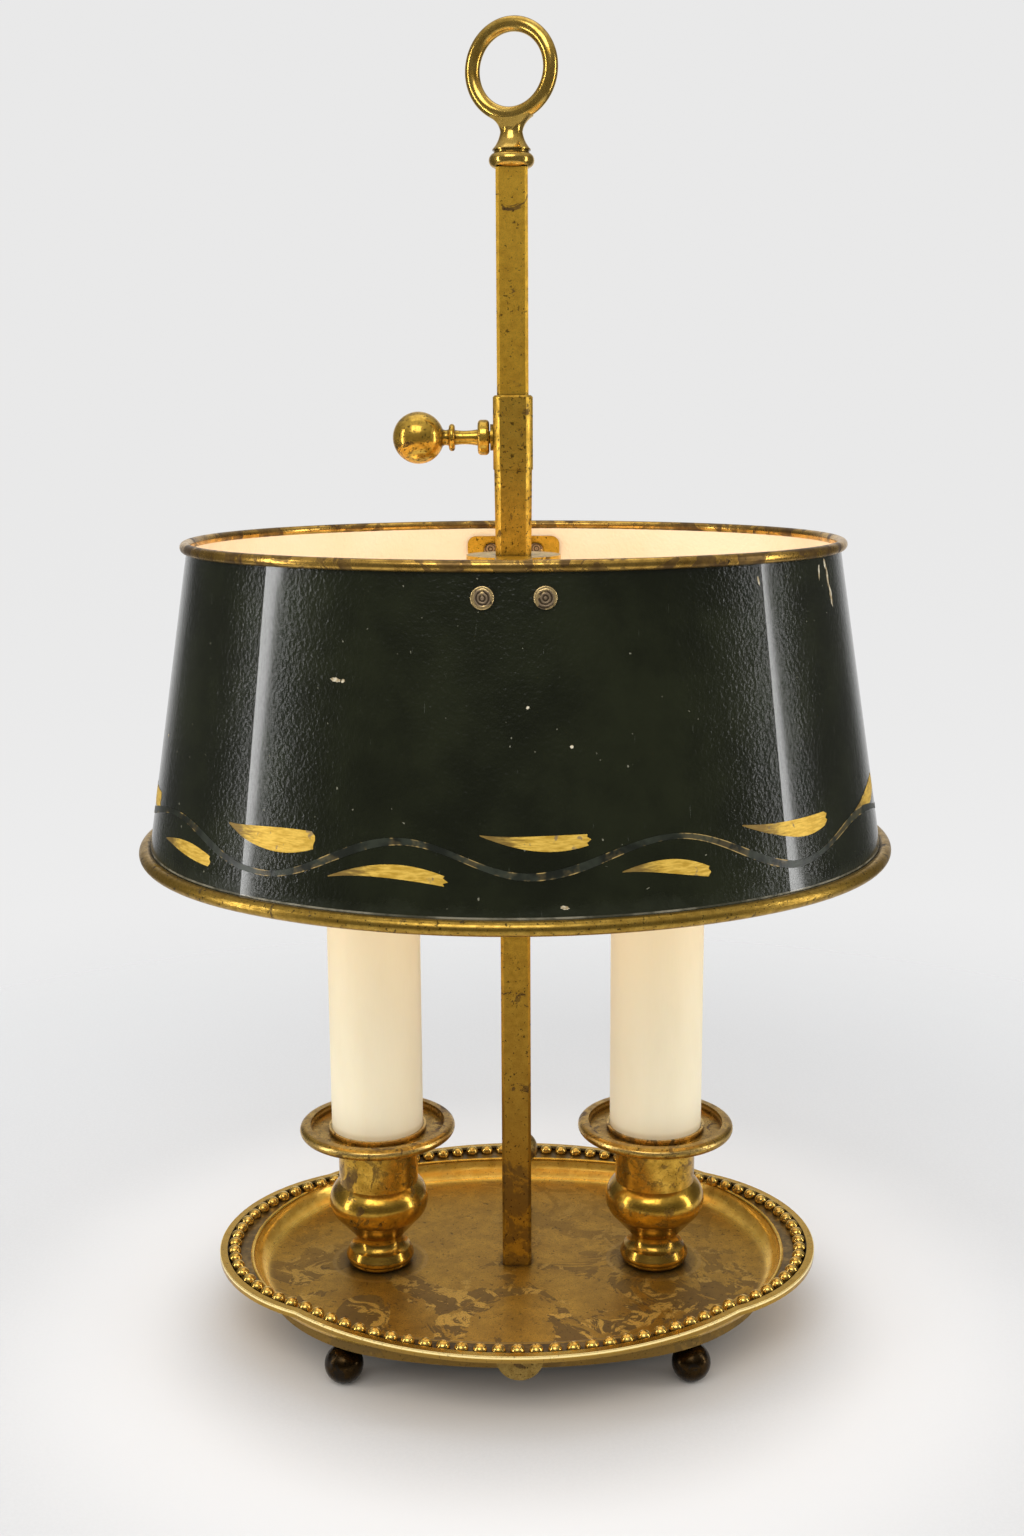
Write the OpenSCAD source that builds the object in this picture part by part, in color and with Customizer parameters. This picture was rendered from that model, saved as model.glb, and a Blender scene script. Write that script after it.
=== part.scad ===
// Two-light bouillotte lamp: a lobed brass tray on ball feet carries two candle
// lights and a square stem, and an oval painted shade slides on the stem.
// Millimetres. +Z is up, the front is -Y, and z = 0 is the table under the feet.

/* [Tray] */
// Half width of the tray's rim, left to right
tray_half_x = 105.3; // [100:0.1:110]
// Half depth of the tray's rim, front to rear
tray_half_y = 82.5; // [80:0.1:86]
// Where a side lobe meets a front or rear lobe, left to right
cusp_x = 72.9; // [70:0.1:76]
// Where a side lobe meets a front or rear lobe, front to rear
cusp_y = 53.5; // [51:0.1:56]
// Height of the tray's floor above the table
floor_z = 17; // [16.5:0.1:18]
// Height of the tray's rim above its floor
rim_rise = 8.8; // [8:0.1:10]
// Diameter of one bead in the beaded border
bead_d = 4.6; // [3.4:0.1:4.8]
// Distance from one bead to the next
bead_pitch = 5.9; // [5.2:0.1:8]
// Diameter of a ball foot
foot_d = 12.9; // [12.5:0.1:13]

/* [Stem and finial] */
// Width of the square stem
stem_w = 10.2; // [9.8:0.1:10.3]
// Height of the stem's top above the table
stem_top_z = 390.2; // [370:0.1:410]
// Radius of the finial's ring, to the middle of its rod
ring_r = 13.45; // [11:0.05:15]
// Diameter of the rod that the ring is bent from
ring_rod_d = 4.74; // [4:0.02:5.4]
// Turn of the ring about the stem
ring_turn = -24; // [-45:1:45]

/* [Candle lights] */
// Distance of each candle light from the stem
light_x = 48.9; // [46:0.1:54]
// Outer diameter of the candle sleeves
candle_d = 32; // [30:0.1:33]
// Height of the candle sleeves' top above the table
candle_top_z = 177; // [170:1:180]
// Outer diameter of the wax pans
pan_d = 54.4; // [50:0.1:56]

/* [Shade] */
// Half width of the shade's top bead, left to right
shade_top_x = 108.8; // [104:0.1:114]
// Half width of the shade's bottom bead, left to right
shade_bottom_x = 126; // [120:0.1:130]
// How much shorter the shade's half depth is than its half width
shade_flattening = 13.5; // [12:0.1:15]
// Height of the middle of the top bead
shade_top_z = 272.3; // [268:0.1:276]
// Height of the middle of the bottom bead
shade_bottom_z = 172.5; // [166:0.1:178]
// Thickness of the shade's sheet metal
shade_wall = 0.9; // [0.8:0.05:1.2]

/* [Thumbscrew] */
// Diameter of the thumbscrew's ball
ball_d = 16.8; // [14:0.1:18]
// Distance from the stem's middle to the ball's middle
ball_reach = 30.8; // [30:0.1:34]
// Height of the thumbscrew above the table
screw_z = 306.4; // [305:0.1:310]

/* [Hidden] */
$fn = 128;

BRASS = [0.72, 0.54, 0.22];
DARK_BRASS = [0.36, 0.28, 0.14];
STEEL = [0.62, 0.62, 0.64];
IVORY = [0.93, 0.87, 0.72];
TOLE = [0.09, 0.11, 0.07];
BLACK = [0.07, 0.07, 0.07];
GLASS = [1, 0.93, 0.78];

small = 0.01;

// ---- the lobed rim: two side lobes and a front and rear lobe, all circle arcs ----
function lobe_r(sagitta, half_chord) = (sagitta * sagitta + half_chord * half_chord) / (2 * sagitta);
side_r = lobe_r(tray_half_x - cusp_x, cusp_y);
side_c = tray_half_x - side_r;
front_r = lobe_r(tray_half_y - cusp_y, cusp_x);
front_c = front_r - tray_half_y;
rim_z = floor_z + rim_rise;
rim_edge = 2.2;
lip_w = 2.6;
lip_step = 1.6;
web_under = 0.8;
bead_inset = 5.1;
bead_rise = 0.7;

// ---- ovals: two end arcs and two long arcs that meet on the slope of a right triangle ----
// [end arcs' radius, their distance out, long arcs' radius, their distance back, triangle],
// where the triangle is [base, height, slope] and k times as large
function oval_of(end_r, k, t) = [end_r, k * t[0], end_r + k * t[2], k * t[1], t];

// ---- the tray's dish ----
dish = oval_of(62.2, 3.75, [7, 24, 25]);
dish_y = dish[2] - dish[3];
sheet = 2;
skirt_z = floor_z - 4.5;
under_z = floor_z - sheet;
cove_out = 4.7;
cove_r = rim_rise - 1;
cove_mid = [cove_out - cove_r, floor_z + cove_r];
ridge = [cove_out + 0.7, rim_z - lip_step - 0.6];
cove_t = 1.5;
skirt_t = 2;

// ---- under the tray ----
cover_inset = 16;
cover_z = 3.5;
cover_wall = 1.2;
boss_x = 30;
foot_x = 57.4;
foot_y = 51.3;
foot_mid_z = sqrt(pow(foot_d / 2, 2) - 4);
foot_stud_r = 1.2;
switch_x = 1.6;
switch_y = 40;
switch_size = [20, 15, 7.6];
bushing_x = -22;
bushing_z = 8.9;
cord_hole_r = 3;
lead_r = 1.2;
lead_z = 9.5;
lead_bend = 3;

// ---- stem ----
stem_half = stem_w / 2;
stem_chamfer = 1;
slide_gap = 0.15;

// ---- candle lights, heights above the tray's floor ----
cup_h = 48.9;
nipple_r = 5;
pan_floor_h = 1.4;
candle_z = floor_z + cup_h + pan_floor_h;
candle_r = candle_d / 2;
candle_wall = 1.2;
socket_top_z = candle_top_z - 2;
socket_h = 46;
cap_r = 7;
cap_h = 17;
bulb_z = socket_top_z + 1;
bulb_r = 17.5;
bulb_mid = 26;
bulb_side_r = 74;
bulb_tip_r = 3;

// ---- shade ----
top_bead_r = 1.75;
bottom_bead_r = 2.3;
wall_top_x = shade_top_x - 2.3;
wall_bottom_x = shade_bottom_x - 3.5;
wall_slope = (wall_bottom_x - wall_top_x) / (shade_top_z - shade_bottom_z);
wall_tilt = atan(wall_slope);
wall = oval_of(wall_top_x - 1.5 * shade_flattening, shade_flattening / 2, [3, 4, 5]);
function flare(z) = (shade_top_z - z) * wall_slope;
rivet_z = shade_top_z - 8.8;
rivet_x = 8.8;
strap_top_z = shade_top_z - 4;
strap_h = 3.7;
strap_w = 12;
tee_t = 1.7;
tee_w = 35;
tee_h = 8.6;

// ---- slide and clamp ----
sleeve_top_z = screw_z - 10.3;
collar_top_z = screw_z + 13.4;
collar_half = 6.45;
sleeve_half_top = 6.15;
sleeve_half_bottom = 5.85;
boss_r = 4.25;
boss_end = 7.4;
thread_r = 2;
thread_gap = 0.05;

module octagon_square(half, chamfer) {
    difference() {
        square(2 * half, center = true);
        for (a = [45:90:315]) rotate(a)
            translate([(2 * half - chamfer) / sqrt(2), -half]) square([half, 2 * half]);
    }
}

module lobed(inset) {
    for (s = [-1, 1]) translate([s * side_c, 0]) circle(side_r - inset);
    intersection_for(s = [-1, 1]) translate([0, s * front_c]) circle(front_r - inset);
}

// An oval o, grown outwards by t
module oval(o, t) {
    for (s = [-1, 1]) translate([s * o[1], 0]) circle(o[0] + t);
    intersection() {
        intersection_for(s = [-1, 1]) translate([0, s * o[3]]) circle(o[2] + t);
        square([2 * o[1] + 2 * (o[0] + t) * o[4][0] / o[4][2], 3 * o[0]], center = true);
    }
}

// Carries a profile, drawn as [distance outside the oval o, height], round that oval
module round_oval(o) {
    run = 60 * o[4][0];
    rise = 60 * o[4][1];
    for (s = [0, 180]) rotate(s) {
        intersection() {
            translate([o[1], 0]) rotate_extrude() translate([o[0], 0]) children();
            linear_extrude(400) polygon([[o[1], 0], [o[1] + run, -rise], [o[1] + run, rise]]);
        }
        intersection() {
            translate([0, -o[3]]) rotate_extrude() translate([o[2], 0]) children();
            linear_extrude(400) polygon([[0, -o[3]], [run, rise - o[3]], [-run, rise - o[3]]]);
        }
    }
}

module rounded_rect(w, h, r) {
    square([w - 2 * r, h], center = true);
    square([w, h - 2 * r], center = true);
    for (x = [-1, 1], y = [-1, 1]) translate([x * (w / 2 - r), y * (h / 2 - r)]) circle(r);
}

// ---- base ----
module dish_profile() {
    translate([-skirt_t, skirt_z]) square([skirt_t, floor_z - 0.5 - skirt_z]);
    translate([cove_mid[0] - 4, under_z]) square([4.4, sheet]);
    intersection() {
        difference() {
            translate(cove_mid) circle(cove_r + cove_t);
            translate(cove_mid) circle(cove_r);
        }
        translate([cove_mid[0], under_z]) square([20, ridge[1] - under_z]);
    }
    translate(ridge) circle(0.8, $fn = 32);
}

module rim_plate() {
    rebate = 0.3;
    edge_z = rim_z - rim_edge;
    difference() {
        union() {
            translate([0, 0, edge_z]) linear_extrude(rim_edge) lobed(rebate);
            translate([0, 0, edge_z]) linear_extrude(rim_edge - rebate) lobed(0);
            translate([0, 0, edge_z - web_under]) linear_extrude(web_under + 0.5) lobed(lip_w);
        }
        translate([0, 0, rim_z - lip_step]) linear_extrude(rim_edge) lobed(lip_w);
        translate([0, 0, edge_z - 1]) linear_extrude(rim_edge + 2) oval(dish, cove_out + 0.7);
    }
}

module tray() {
    color(BRASS) difference() {
        union() {
            round_oval(dish) dish_profile();
            translate([0, 0, under_z]) linear_extrude(sheet) oval(dish, cove_mid[0] - 2);
            rim_plate();
            intersection() {
                for (x = [-1, 1], y = [-1, 1]) translate([x * foot_x, y * foot_y, skirt_z])
                    cylinder(r = 5, h = under_z - skirt_z + 1);
                translate([0, 0, skirt_z]) linear_extrude(10) oval(dish, -small);
            }
            for (x = [-1, 1]) translate([x * boss_x, 0, cover_z + cover_wall])
                cylinder(r = 3.2, h = under_z - cover_z - cover_wall + 1);
        }
        for (x = [-1, 1]) translate([x * light_x, 0, under_z - 1]) cylinder(r = nipple_r + 0.1, h = sheet + 2);
        for (x = [-1, 1], y = [-1, 1]) translate([x * foot_x, y * foot_y, skirt_z - 1])
            cylinder(r = foot_stud_r + 0.05, h = 3.2);
        for (x = [-1, 1]) translate([x * boss_x, 0, 0]) cylinder(r = 1.55, h = under_z - 1);
        translate([0, 0, under_z - 1]) cylinder(r = 3.1, h = sheet + 2);
        translate([switch_x, switch_y, under_z - 1]) cylinder(r = 3, h = sheet + 2);
    }
}

// The bead row's cusp, where its side arc meets its front arc
bead_side_r = side_r - bead_inset;
bead_front_r = front_r - bead_inset;
between = norm([side_c, front_c]);
along = (pow(bead_side_r, 2) - pow(bead_front_r, 2) + pow(between, 2)) / (2 * between);
across = sqrt(pow(bead_side_r, 2) - along * along);
toward = [-side_c, -front_c] / between;
bead_cusp = [side_c, 0] + along * toward + across * [toward[1], -toward[0]];
side_sweep = atan2(bead_cusp[1], bead_cusp[0] - side_c);
front_sweep = atan2(bead_cusp[0], bead_cusp[1] + front_c);
side_beads = round(2 * side_sweep * PI / 180 * bead_side_r / bead_pitch);
front_beads = round(2 * front_sweep * PI / 180 * bead_front_r / bead_pitch);

module bead() {
    intersection() {
        translate([0, 0, bead_rise]) sphere(d = bead_d, $fn = 32);
        translate([0, 0, bead_d]) cube(2 * bead_d, center = true);
    }
}

module bead_border() {
    color(BRASS) difference() {
        translate([0, 0, rim_z - lip_step]) for (s = [0, 180]) rotate(s) {
            for (i = [0:side_beads - 1]) {
                a = side_sweep * (1 - 2 * i / side_beads);
                translate([side_c + bead_side_r * cos(a), bead_side_r * sin(a), 0]) bead();
            }
            for (i = [0:front_beads - 1]) {
                a = front_sweep * (1 - 2 * i / front_beads);
                translate([bead_front_r * sin(-a), bead_front_r * cos(a) - front_c, 0]) bead();
            }
        }
        // Some beads near the cusps sit astride the dish's ridge
        round_oval(dish) translate(ridge) circle(0.83, $fn = 32);
    }
}

module front_lug() {
    lug_r = 7.6;
    lug_mid = [0.7, floor_z + 2.8];
    color(DARK_BRASS) difference() {
        translate([0, -71.1, 0]) rotate([90, 0, 0]) linear_extrude(1.8) intersection() {
            union() {
                translate(lug_mid) circle(lug_r);
                translate(lug_mid - [lug_r, 0]) square(2 * lug_r);
            }
            translate([-10, 0]) square([20, rim_z - rim_edge - web_under]);
        }
        round_oval(dish) translate(cove_mid) circle(cove_r + cove_t + 0.03);
    }
}

module ball_feet() {
    color(DARK_BRASS) for (x = [-1, 1], y = [-1, 1]) translate([x * foot_x, y * foot_y, 0]) {
        intersection() {
            translate([0, 0, foot_mid_z]) sphere(d = foot_d);
            translate([0, 0, skirt_z / 2]) cube([foot_d, foot_d, skirt_z], center = true);
        }
        translate([0, 0, skirt_z - 1]) cylinder(r = foot_stud_r, h = 3);
    }
}

module base_cover() {
    color(BLACK) difference() {
        translate([0, 0, cover_z]) linear_extrude(under_z - cover_z) oval(dish, -cover_inset);
        translate([0, 0, cover_z + cover_wall]) linear_extrude(under_z) oval(dish, -cover_inset - cover_wall);
        for (x = [-1, 1]) translate([x * boss_x, 0, 0]) cylinder(r = 1.7, h = under_z);
        translate([bushing_x, dish_y - cover_inset, bushing_z]) rotate([90, 0, 0])
            cylinder(r = cord_hole_r + 0.9, h = 20, center = true);
    }
}

module cover_screws() {
    color(STEEL) for (x = [-1, 1]) translate([x * boss_x, 0, 0]) {
        difference() {
            translate([0, 0, cover_z - 1.6]) cylinder(r = 2.8, h = 1.6);
            translate([0, 0, cover_z - 1.6]) cube([7, 0.8, 1.4], center = true);
        }
        translate([0, 0, cover_z - small]) cylinder(r = 1.5, h = 8.5);
    }
}

module cord_bushing() {
    wall_y = dish_y - cover_inset;
    color(BLACK) translate([bushing_x, wall_y - 4, bushing_z]) rotate([-90, 0, 0]) difference() {
        union() {
            cylinder(r = cord_hole_r + 0.85, h = 8);
            translate([0, 0, 4.3]) cylinder(r = 5, h = 3.7);
        }
        translate([0, 0, -1]) cylinder(r = cord_hole_r, h = 10);
    }
}

// ---- stem ----
module stem() {
    color(BRASS) difference() {
        translate([0, 0, floor_z]) linear_extrude(stem_top_z - floor_z) octagon_square(stem_half, stem_chamfer);
        translate([0, 0, floor_z - 1]) cylinder(r = 3.05, h = 15);
        translate([0, 0, stem_top_z - 9]) cylinder(r = 2.45, h = 10);
    }
}

module stem_screw() {
    color(STEEL) {
        translate([0, 0, under_z - 5.2]) cylinder(r = 5.5, h = 4, $fn = 6);
        translate([0, 0, under_z - 1.3]) cylinder(r = 3, h = 16);
    }
}

module stem_washer() {
    color(STEEL) translate([0, 0, under_z - 1.2]) difference() {
        cylinder(r = 8, h = 1.2);
        translate([0, 0, -1]) cylinder(r = 3.2, h = 4);
    }
}

module finial() {
    collar_r = 7.25;
    collar_h = 4.8;
    neck_r = 3.5;
    neck_z = stem_top_z + 12.2;
    flare_r = 9.2;
    ring_z = neck_z + 17.6;
    web_r = 6;
    web_x = neck_r + web_r;
    web_z = ring_z - sqrt(pow(ring_r + ring_rod_d / 2 + web_r, 2) - web_x * web_x);
    color(BRASS) {
        translate([0, 0, stem_top_z - 8]) cylinder(r = 2.4, h = 9);
        rotate_extrude() {
            translate([0, stem_top_z]) square([collar_r - collar_h / 2, collar_h]);
            translate([collar_r - collar_h / 2, stem_top_z + collar_h / 2]) circle(collar_h / 2);
            translate([0, stem_top_z + 4]) square([5.6, 1.6]);
            difference() {
                translate([0, stem_top_z + 5.4]) square([6.1, neck_z - stem_top_z - 5.4]);
                translate([neck_r + flare_r, neck_z]) circle(flare_r);
            }
        }
        rotate(ring_turn) {
            translate([0, 0, ring_z]) rotate([90, 0, 0]) rotate_extrude()
                translate([ring_r, 0]) circle(d = ring_rod_d);
            intersection() {
                rotate_extrude() difference() {
                    translate([0, neck_z - 2]) square([7, 6.2]);
                    translate([web_x, web_z]) circle(web_r);
                }
                rotate([90, 0, 90]) linear_extrude(20, center = true)
                    polygon([[-3.6, neck_z - 2], [3.6, neck_z - 2], [1.7, neck_z + 4.4], [-1.7, neck_z + 4.4]]);
            }
        }
    }
}

// ---- candle lights ----
module cup() {
    bowl_r = 8.6;
    bowl_z = 24.1;
    cove = 4.5;
    cove_z = 10.3;
    neck_r = 7.9;
    color(BRASS) translate([0, 0, floor_z]) difference() {
        rotate_extrude() {
            square([10, 3]);
            translate([10, 1.3]) circle(1.3, $fn = 48);
            translate([10.4, 3.1]) circle(1.6, $fn = 48);
            polygon([[0, 2.4], [10.4, 2.4], [11.85, 3.8], [10.7, 6.13], [0, 6.13]]);
            difference() {
                translate([0, 6]) square([10.7, cove_z - 6]);
                translate([neck_r + cove, cove_z]) circle(cove);
            }
            translate([0, cove_z - 1]) square([neck_r, 3]);
            translate([8.5, 12.1]) circle(0.9, $fn = 48);
            polygon([[0, 11.2], [8.5, 11.2], [9.1, 11.5], [11.3, 14], [14.43, 17.6], [0, 18]]);
            translate([8.8, bowl_z]) circle(bowl_r);
            translate([0, bowl_z - 8]) square([8.8, 16]);
            translate([0, 28]) square([13.5, 5]);
            translate([0, 31]) square([13.9, cup_h - 31]);
        }
        translate([0, 0, -1]) cylinder(r = nipple_r + 0.1, h = cup_h + 2);
        translate([0, 0, 33]) cylinder(r = 12.3, h = cup_h);
    }
}

module pan() {
    pan_r = pan_d / 2;
    edge_r = 1.9;
    lip_h = 3.9;
    color(BRASS) translate([0, 0, floor_z + cup_h]) difference() {
        rotate_extrude() {
            square([pan_r - 4.4, pan_floor_h]);
            polygon([[pan_r - 5.6, 0], [pan_r - edge_r, lip_h - 2 * edge_r], [pan_r - edge_r, lip_h],
                     [pan_r - 3.7, lip_h], [pan_r - 4.2, pan_floor_h], [pan_r - 5.6, pan_floor_h]]);
            translate([pan_r - edge_r, lip_h - edge_r]) circle(edge_r);
            translate([candle_r + 0.15, pan_floor_h - small]) square([0.9, 1.6]);
            translate([0, -4]) square([12.2, 4 + small]);
        }
        translate([0, 0, -6]) cylinder(r = nipple_r + 0.1, h = 12);
        translate([0, 0, -6]) cylinder(r = 10.8, h = 5);
    }
}

module cup_nuts() {
    color(STEEL) for (x = [-1, 1]) translate([x * light_x, 0, under_z - 3.5]) difference() {
        cylinder(r = 8, h = 3.5, $fn = 6);
        translate([0, 0, -1]) cylinder(r = nipple_r + 0.05, h = 6);
    }
}

module nipple() {
    bottom_z = under_z - 4;
    color(STEEL) translate([0, 0, bottom_z]) difference() {
        cylinder(r = nipple_r, h = socket_top_z - socket_h + 7 - bottom_z);
        translate([0, 0, -1]) cylinder(r = 3.5, h = 200);
    }
}

module socket() {
    color(BLACK) translate([0, 0, socket_top_z - socket_h]) difference() {
        union() {
            cylinder(r = 9, h = 12);
            translate([0, 0, 10]) cylinder(r = 12.8, h = socket_h - 10);
        }
        translate([0, 0, -1]) cylinder(r = nipple_r + 0.05, h = 9);
        translate([0, 0, 7]) cylinder(r = 3.5, h = 14);
        translate([0, 0, socket_h - cap_h - 1]) cylinder(r = cap_r + 0.1, h = cap_h + 2);
    }
}

module candle_sleeve() {
    color(IVORY) difference() {
        translate([0, 0, candle_z]) cylinder(r = candle_r, h = candle_top_z - candle_z);
        translate([0, 0, candle_z - 1]) cylinder(r = candle_r - candle_wall, h = candle_top_z);
    }
}

// Half outline of the bulb: a long arc up to a round tip, over a shorter arc down to the neck
bulb_tip_mid = sqrt(pow(bulb_side_r - bulb_tip_r, 2) - pow(bulb_side_r - bulb_r, 2));
bulb_tip_a = asin(bulb_tip_mid / (bulb_side_r - bulb_tip_r));
module bulb_outline(shrink) {
    neck_in = bulb_r - cap_r + 0.6;
    low_r = (neck_in * neck_in + bulb_mid * bulb_mid) / (2 * neck_in);
    translate([0, bulb_mid]) {
        intersection() {
            translate([bulb_r - bulb_side_r, 0]) circle(bulb_side_r - shrink);
            square([bulb_r, bulb_side_r * sin(bulb_tip_a) - shrink]);
        }
        intersection() {
            translate([0, bulb_tip_mid]) circle(bulb_tip_r - shrink, $fn = 64);
            translate([0, bulb_tip_mid]) square(bulb_tip_r);
        }
        intersection() {
            translate([bulb_r - low_r, 0]) circle(low_r - shrink);
            translate([0, -bulb_mid]) square([bulb_r, bulb_mid + small]);
        }
    }
}

module bulb_glass() {
    color(GLASS) translate([0, 0, bulb_z]) rotate_extrude() difference() {
        bulb_outline(0);
        bulb_outline(0.9);
        translate([-1, -small]) square([5.4, 1]);
    }
}

module bulb_cap() {
    thread = 1.5;
    color(STEEL) translate([0, 0, bulb_z - cap_h]) rotate_extrude() {
        square([cap_r - 0.5, cap_h]);
        for (i = [0:7]) translate([cap_r - 0.6, 4 + i * thread]) circle(0.6, $fn = 24);
        translate([0, cap_h - 1]) square([cap_r - 0.7, 1]);
        translate([0, 0]) square([4, 2]);
    }
}

module lead(side) {
    from = [side * light_x, 0];
    to = [switch_x, switch_y];
    way = atan2(to[1] - from[1], to[0] - from[0]);
    nipple_end = socket_top_z - socket_h + 12;
    color(IVORY) difference() {
        translate(from) rotate(way) {
            translate([0, 0, lead_z + lead_bend]) cylinder(r = lead_r, h = nipple_end - lead_z - lead_bend);
            translate([lead_bend, 0, lead_z + lead_bend]) rotate([90, 0, 180]) rotate(-90)
                rotate_extrude(angle = 90) translate([lead_bend, 0]) circle(lead_r, $fn = 32);
            translate([lead_bend, 0, lead_z]) rotate([0, 90, 0])
                cylinder(r = lead_r, h = norm(to - from) - lead_bend);
        }
        switch_block();
    }
}

// ---- switch ----
module switch_block() {
    translate([switch_x, switch_y, under_z - switch_size[2] / 2 - 0.8]) cube(switch_size, center = true);
}

module switch_body() {
    color(BLACK) difference() {
        union() {
            switch_block();
            translate([switch_x, switch_y, under_z - 1]) cylinder(r = 2.9, h = sheet + 5);
        }
        translate([switch_x, switch_y, under_z - 6]) cylinder(r = 2.05, h = 20);
    }
}

module switch_nut() {
    color(BRASS) translate([switch_x, switch_y, floor_z]) difference() {
        rotate_extrude() {
            square([3.2, 2.4]);
            translate([2.9, 1.2]) circle(1.2, $fn = 32);
        }
        translate([0, 0, -1]) cylinder(r = 2.95, h = 5);
    }
}

module switch_knob() {
    knob_r = 6.2;
    knob_mid_z = floor_z + 25.1;
    seat_z = floor_z + 4.4;
    color(DARK_BRASS) translate([switch_x, switch_y, 0]) {
        translate([0, 0, knob_mid_z]) sphere(r = knob_r);
        rotate_extrude() {
            translate([0, seat_z]) square([2.9, 2.2]);
            translate([2.8, seat_z + 1.1]) circle(1.1, $fn = 32);
            difference() {
                translate([0, seat_z + 2]) square([3.6, 14]);
                translate([2.4 + 9, seat_z + 8.6]) circle(9);
            }
        }
        translate([0, 0, under_z - 5]) cylinder(r = 2, h = seat_z - under_z + 6);
    }
}

// ---- shade ----
// A band of the shade's cone from z0 up to z1, its outer face `out` outside the shade's own
module wall_band(z0, z1, out, thick) {
    round_oval(wall) polygon([[flare(z0) + out - thick, z0], [flare(z0) + out, z0],
                              [flare(z1) + out, z1], [flare(z1) + out - thick, z1]]);
}

// Places its children at each rivet, +Z pointing out of the shade's wall
module at_rivets() {
    r = wall[2] + flare(rivet_z);
    for (s = [0, 180], x = [-1, 1]) rotate(s)
        translate([x * rivet_x, wall[3] - sqrt(r * r - rivet_x * rivet_x), rivet_z])
            rotate([90 - wall_tilt, 0, x * asin(rivet_x / r)]) children();
}

module shade_shell() {
    color(TOLE) difference() {
        wall_band(shade_bottom_z, shade_top_z, 0, shade_wall);
        at_rivets() cylinder(r = 1.7, h = 8, center = true, $fn = 48);
    }
}

// A wire bead that the shell's edge enters
module rolled_bead(mid, r) {
    color(BRASS) round_oval(wall) difference() {
        translate(mid) circle(r, $fn = 64);
        polygon([[flare(shade_bottom_z) - shade_wall, shade_bottom_z], [flare(shade_bottom_z), shade_bottom_z],
                 [0, shade_top_z], [-shade_wall, shade_top_z]]);
    }
}

module shade_top_bead() {
    rolled_bead([shade_top_x - top_bead_r - wall_top_x, shade_top_z], top_bead_r);
}

module shade_bottom_bead() {
    rolled_bead([shade_bottom_x - bottom_bead_r - wall_top_x, shade_bottom_z], bottom_bead_r);
}

module shade_bracket() {
    inner_gap = 0.05;
    reach = wall_top_x - shade_flattening + flare(strap_top_z) - shade_wall - tee_t + 0.4;
    color(BRASS) difference() {
        union() {
            translate([0, 0, strap_top_z - strap_h]) {
                cylinder(r = 15.6, h = strap_h);
                translate([-strap_w / 2, -reach, 0]) cube([strap_w, 2 * reach, strap_h]);
            }
            for (s = [0, 180]) rotate(s) intersection() {
                wall_band(strap_top_z - tee_h - 1, strap_top_z + 1, -shade_wall - inner_gap, tee_t);
                translate([0, -90, strap_top_z - tee_h / 2]) rotate([90, 0, 0])
                    linear_extrude(30, center = true) rounded_rect(tee_w, tee_h, 3.2);
            }
        }
        translate([0, 0, strap_top_z - 10]) linear_extrude(20)
            octagon_square(stem_half + slide_gap, stem_chamfer);
        at_rivets() cylinder(r = 1.7, h = 8, center = true, $fn = 48);
    }
}

module bracket_rivets() {
    grip = shade_wall + tee_t + 0.2;
    color(DARK_BRASS) at_rivets() rotate_extrude($fn = 48) {
        translate([0, 0.1]) square([2.95, 0.9]);
        translate([0, 0.1]) square([3.35, 0.5]);
        translate([2.95, 0.6]) circle(0.4, $fn = 24);
        translate([0, -grip - 0.1]) square([1.6, grip + 0.3]);
        translate([0, -grip - 0.9]) square([2.6, 0.8]);
    }
}

// ---- slide and clamp ----
// A square tube whose corners are turned round
module turned_square(z0, z1, half0, half1, turn_gap) {
    intersection() {
        rotate([90, 0, 0]) linear_extrude(40, center = true)
            polygon([[-half0, z0], [half0, z0], [half1, z1], [-half1, z1]]);
        rotate([90, 0, 90]) linear_extrude(40, center = true)
            polygon([[-half0, z0], [half0, z0], [half1, z1], [-half1, z1]]);
        translate([0, 0, z0]) cylinder(r1 = half0 + turn_gap, r2 = half1 + turn_gap, h = z1 - z0);
    }
}

module stem_hole(z0, z1) {
    translate([0, 0, z0]) linear_extrude(z1 - z0) octagon_square(stem_half + slide_gap, stem_chamfer);
}

module slide_sleeve() {
    color(BRASS) difference() {
        turned_square(strap_top_z, sleeve_top_z, sleeve_half_bottom, sleeve_half_top, 1.25);
        stem_hole(strap_top_z - 1, sleeve_top_z + 1);
    }
}

module clamp_collar() {
    bevel = 0.6;
    color(BRASS) difference() {
        union() {
            turned_square(sleeve_top_z, collar_top_z - bevel, collar_half, collar_half, 1.3);
            turned_square(collar_top_z - bevel - small, collar_top_z, collar_half, collar_half - bevel, 1.3);
            translate([0, 0, screw_z]) rotate([0, -90, 0]) translate([0, 0, 6]) cylinder(r = boss_r, h = boss_end - 6);
        }
        stem_hole(sleeve_top_z - 1, collar_top_z + 1);
        translate([0, 0, screw_z]) rotate([0, -90, 0]) cylinder(r = thread_r + thread_gap, h = 10);
    }
}

module pressure_pad() {
    color(DARK_BRASS) translate([0, 0, screw_z]) rotate([0, -90, 0])
        translate([0, 0, stem_half + 0.1]) cylinder(r = thread_r - 0.05, h = 1);
}

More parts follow.
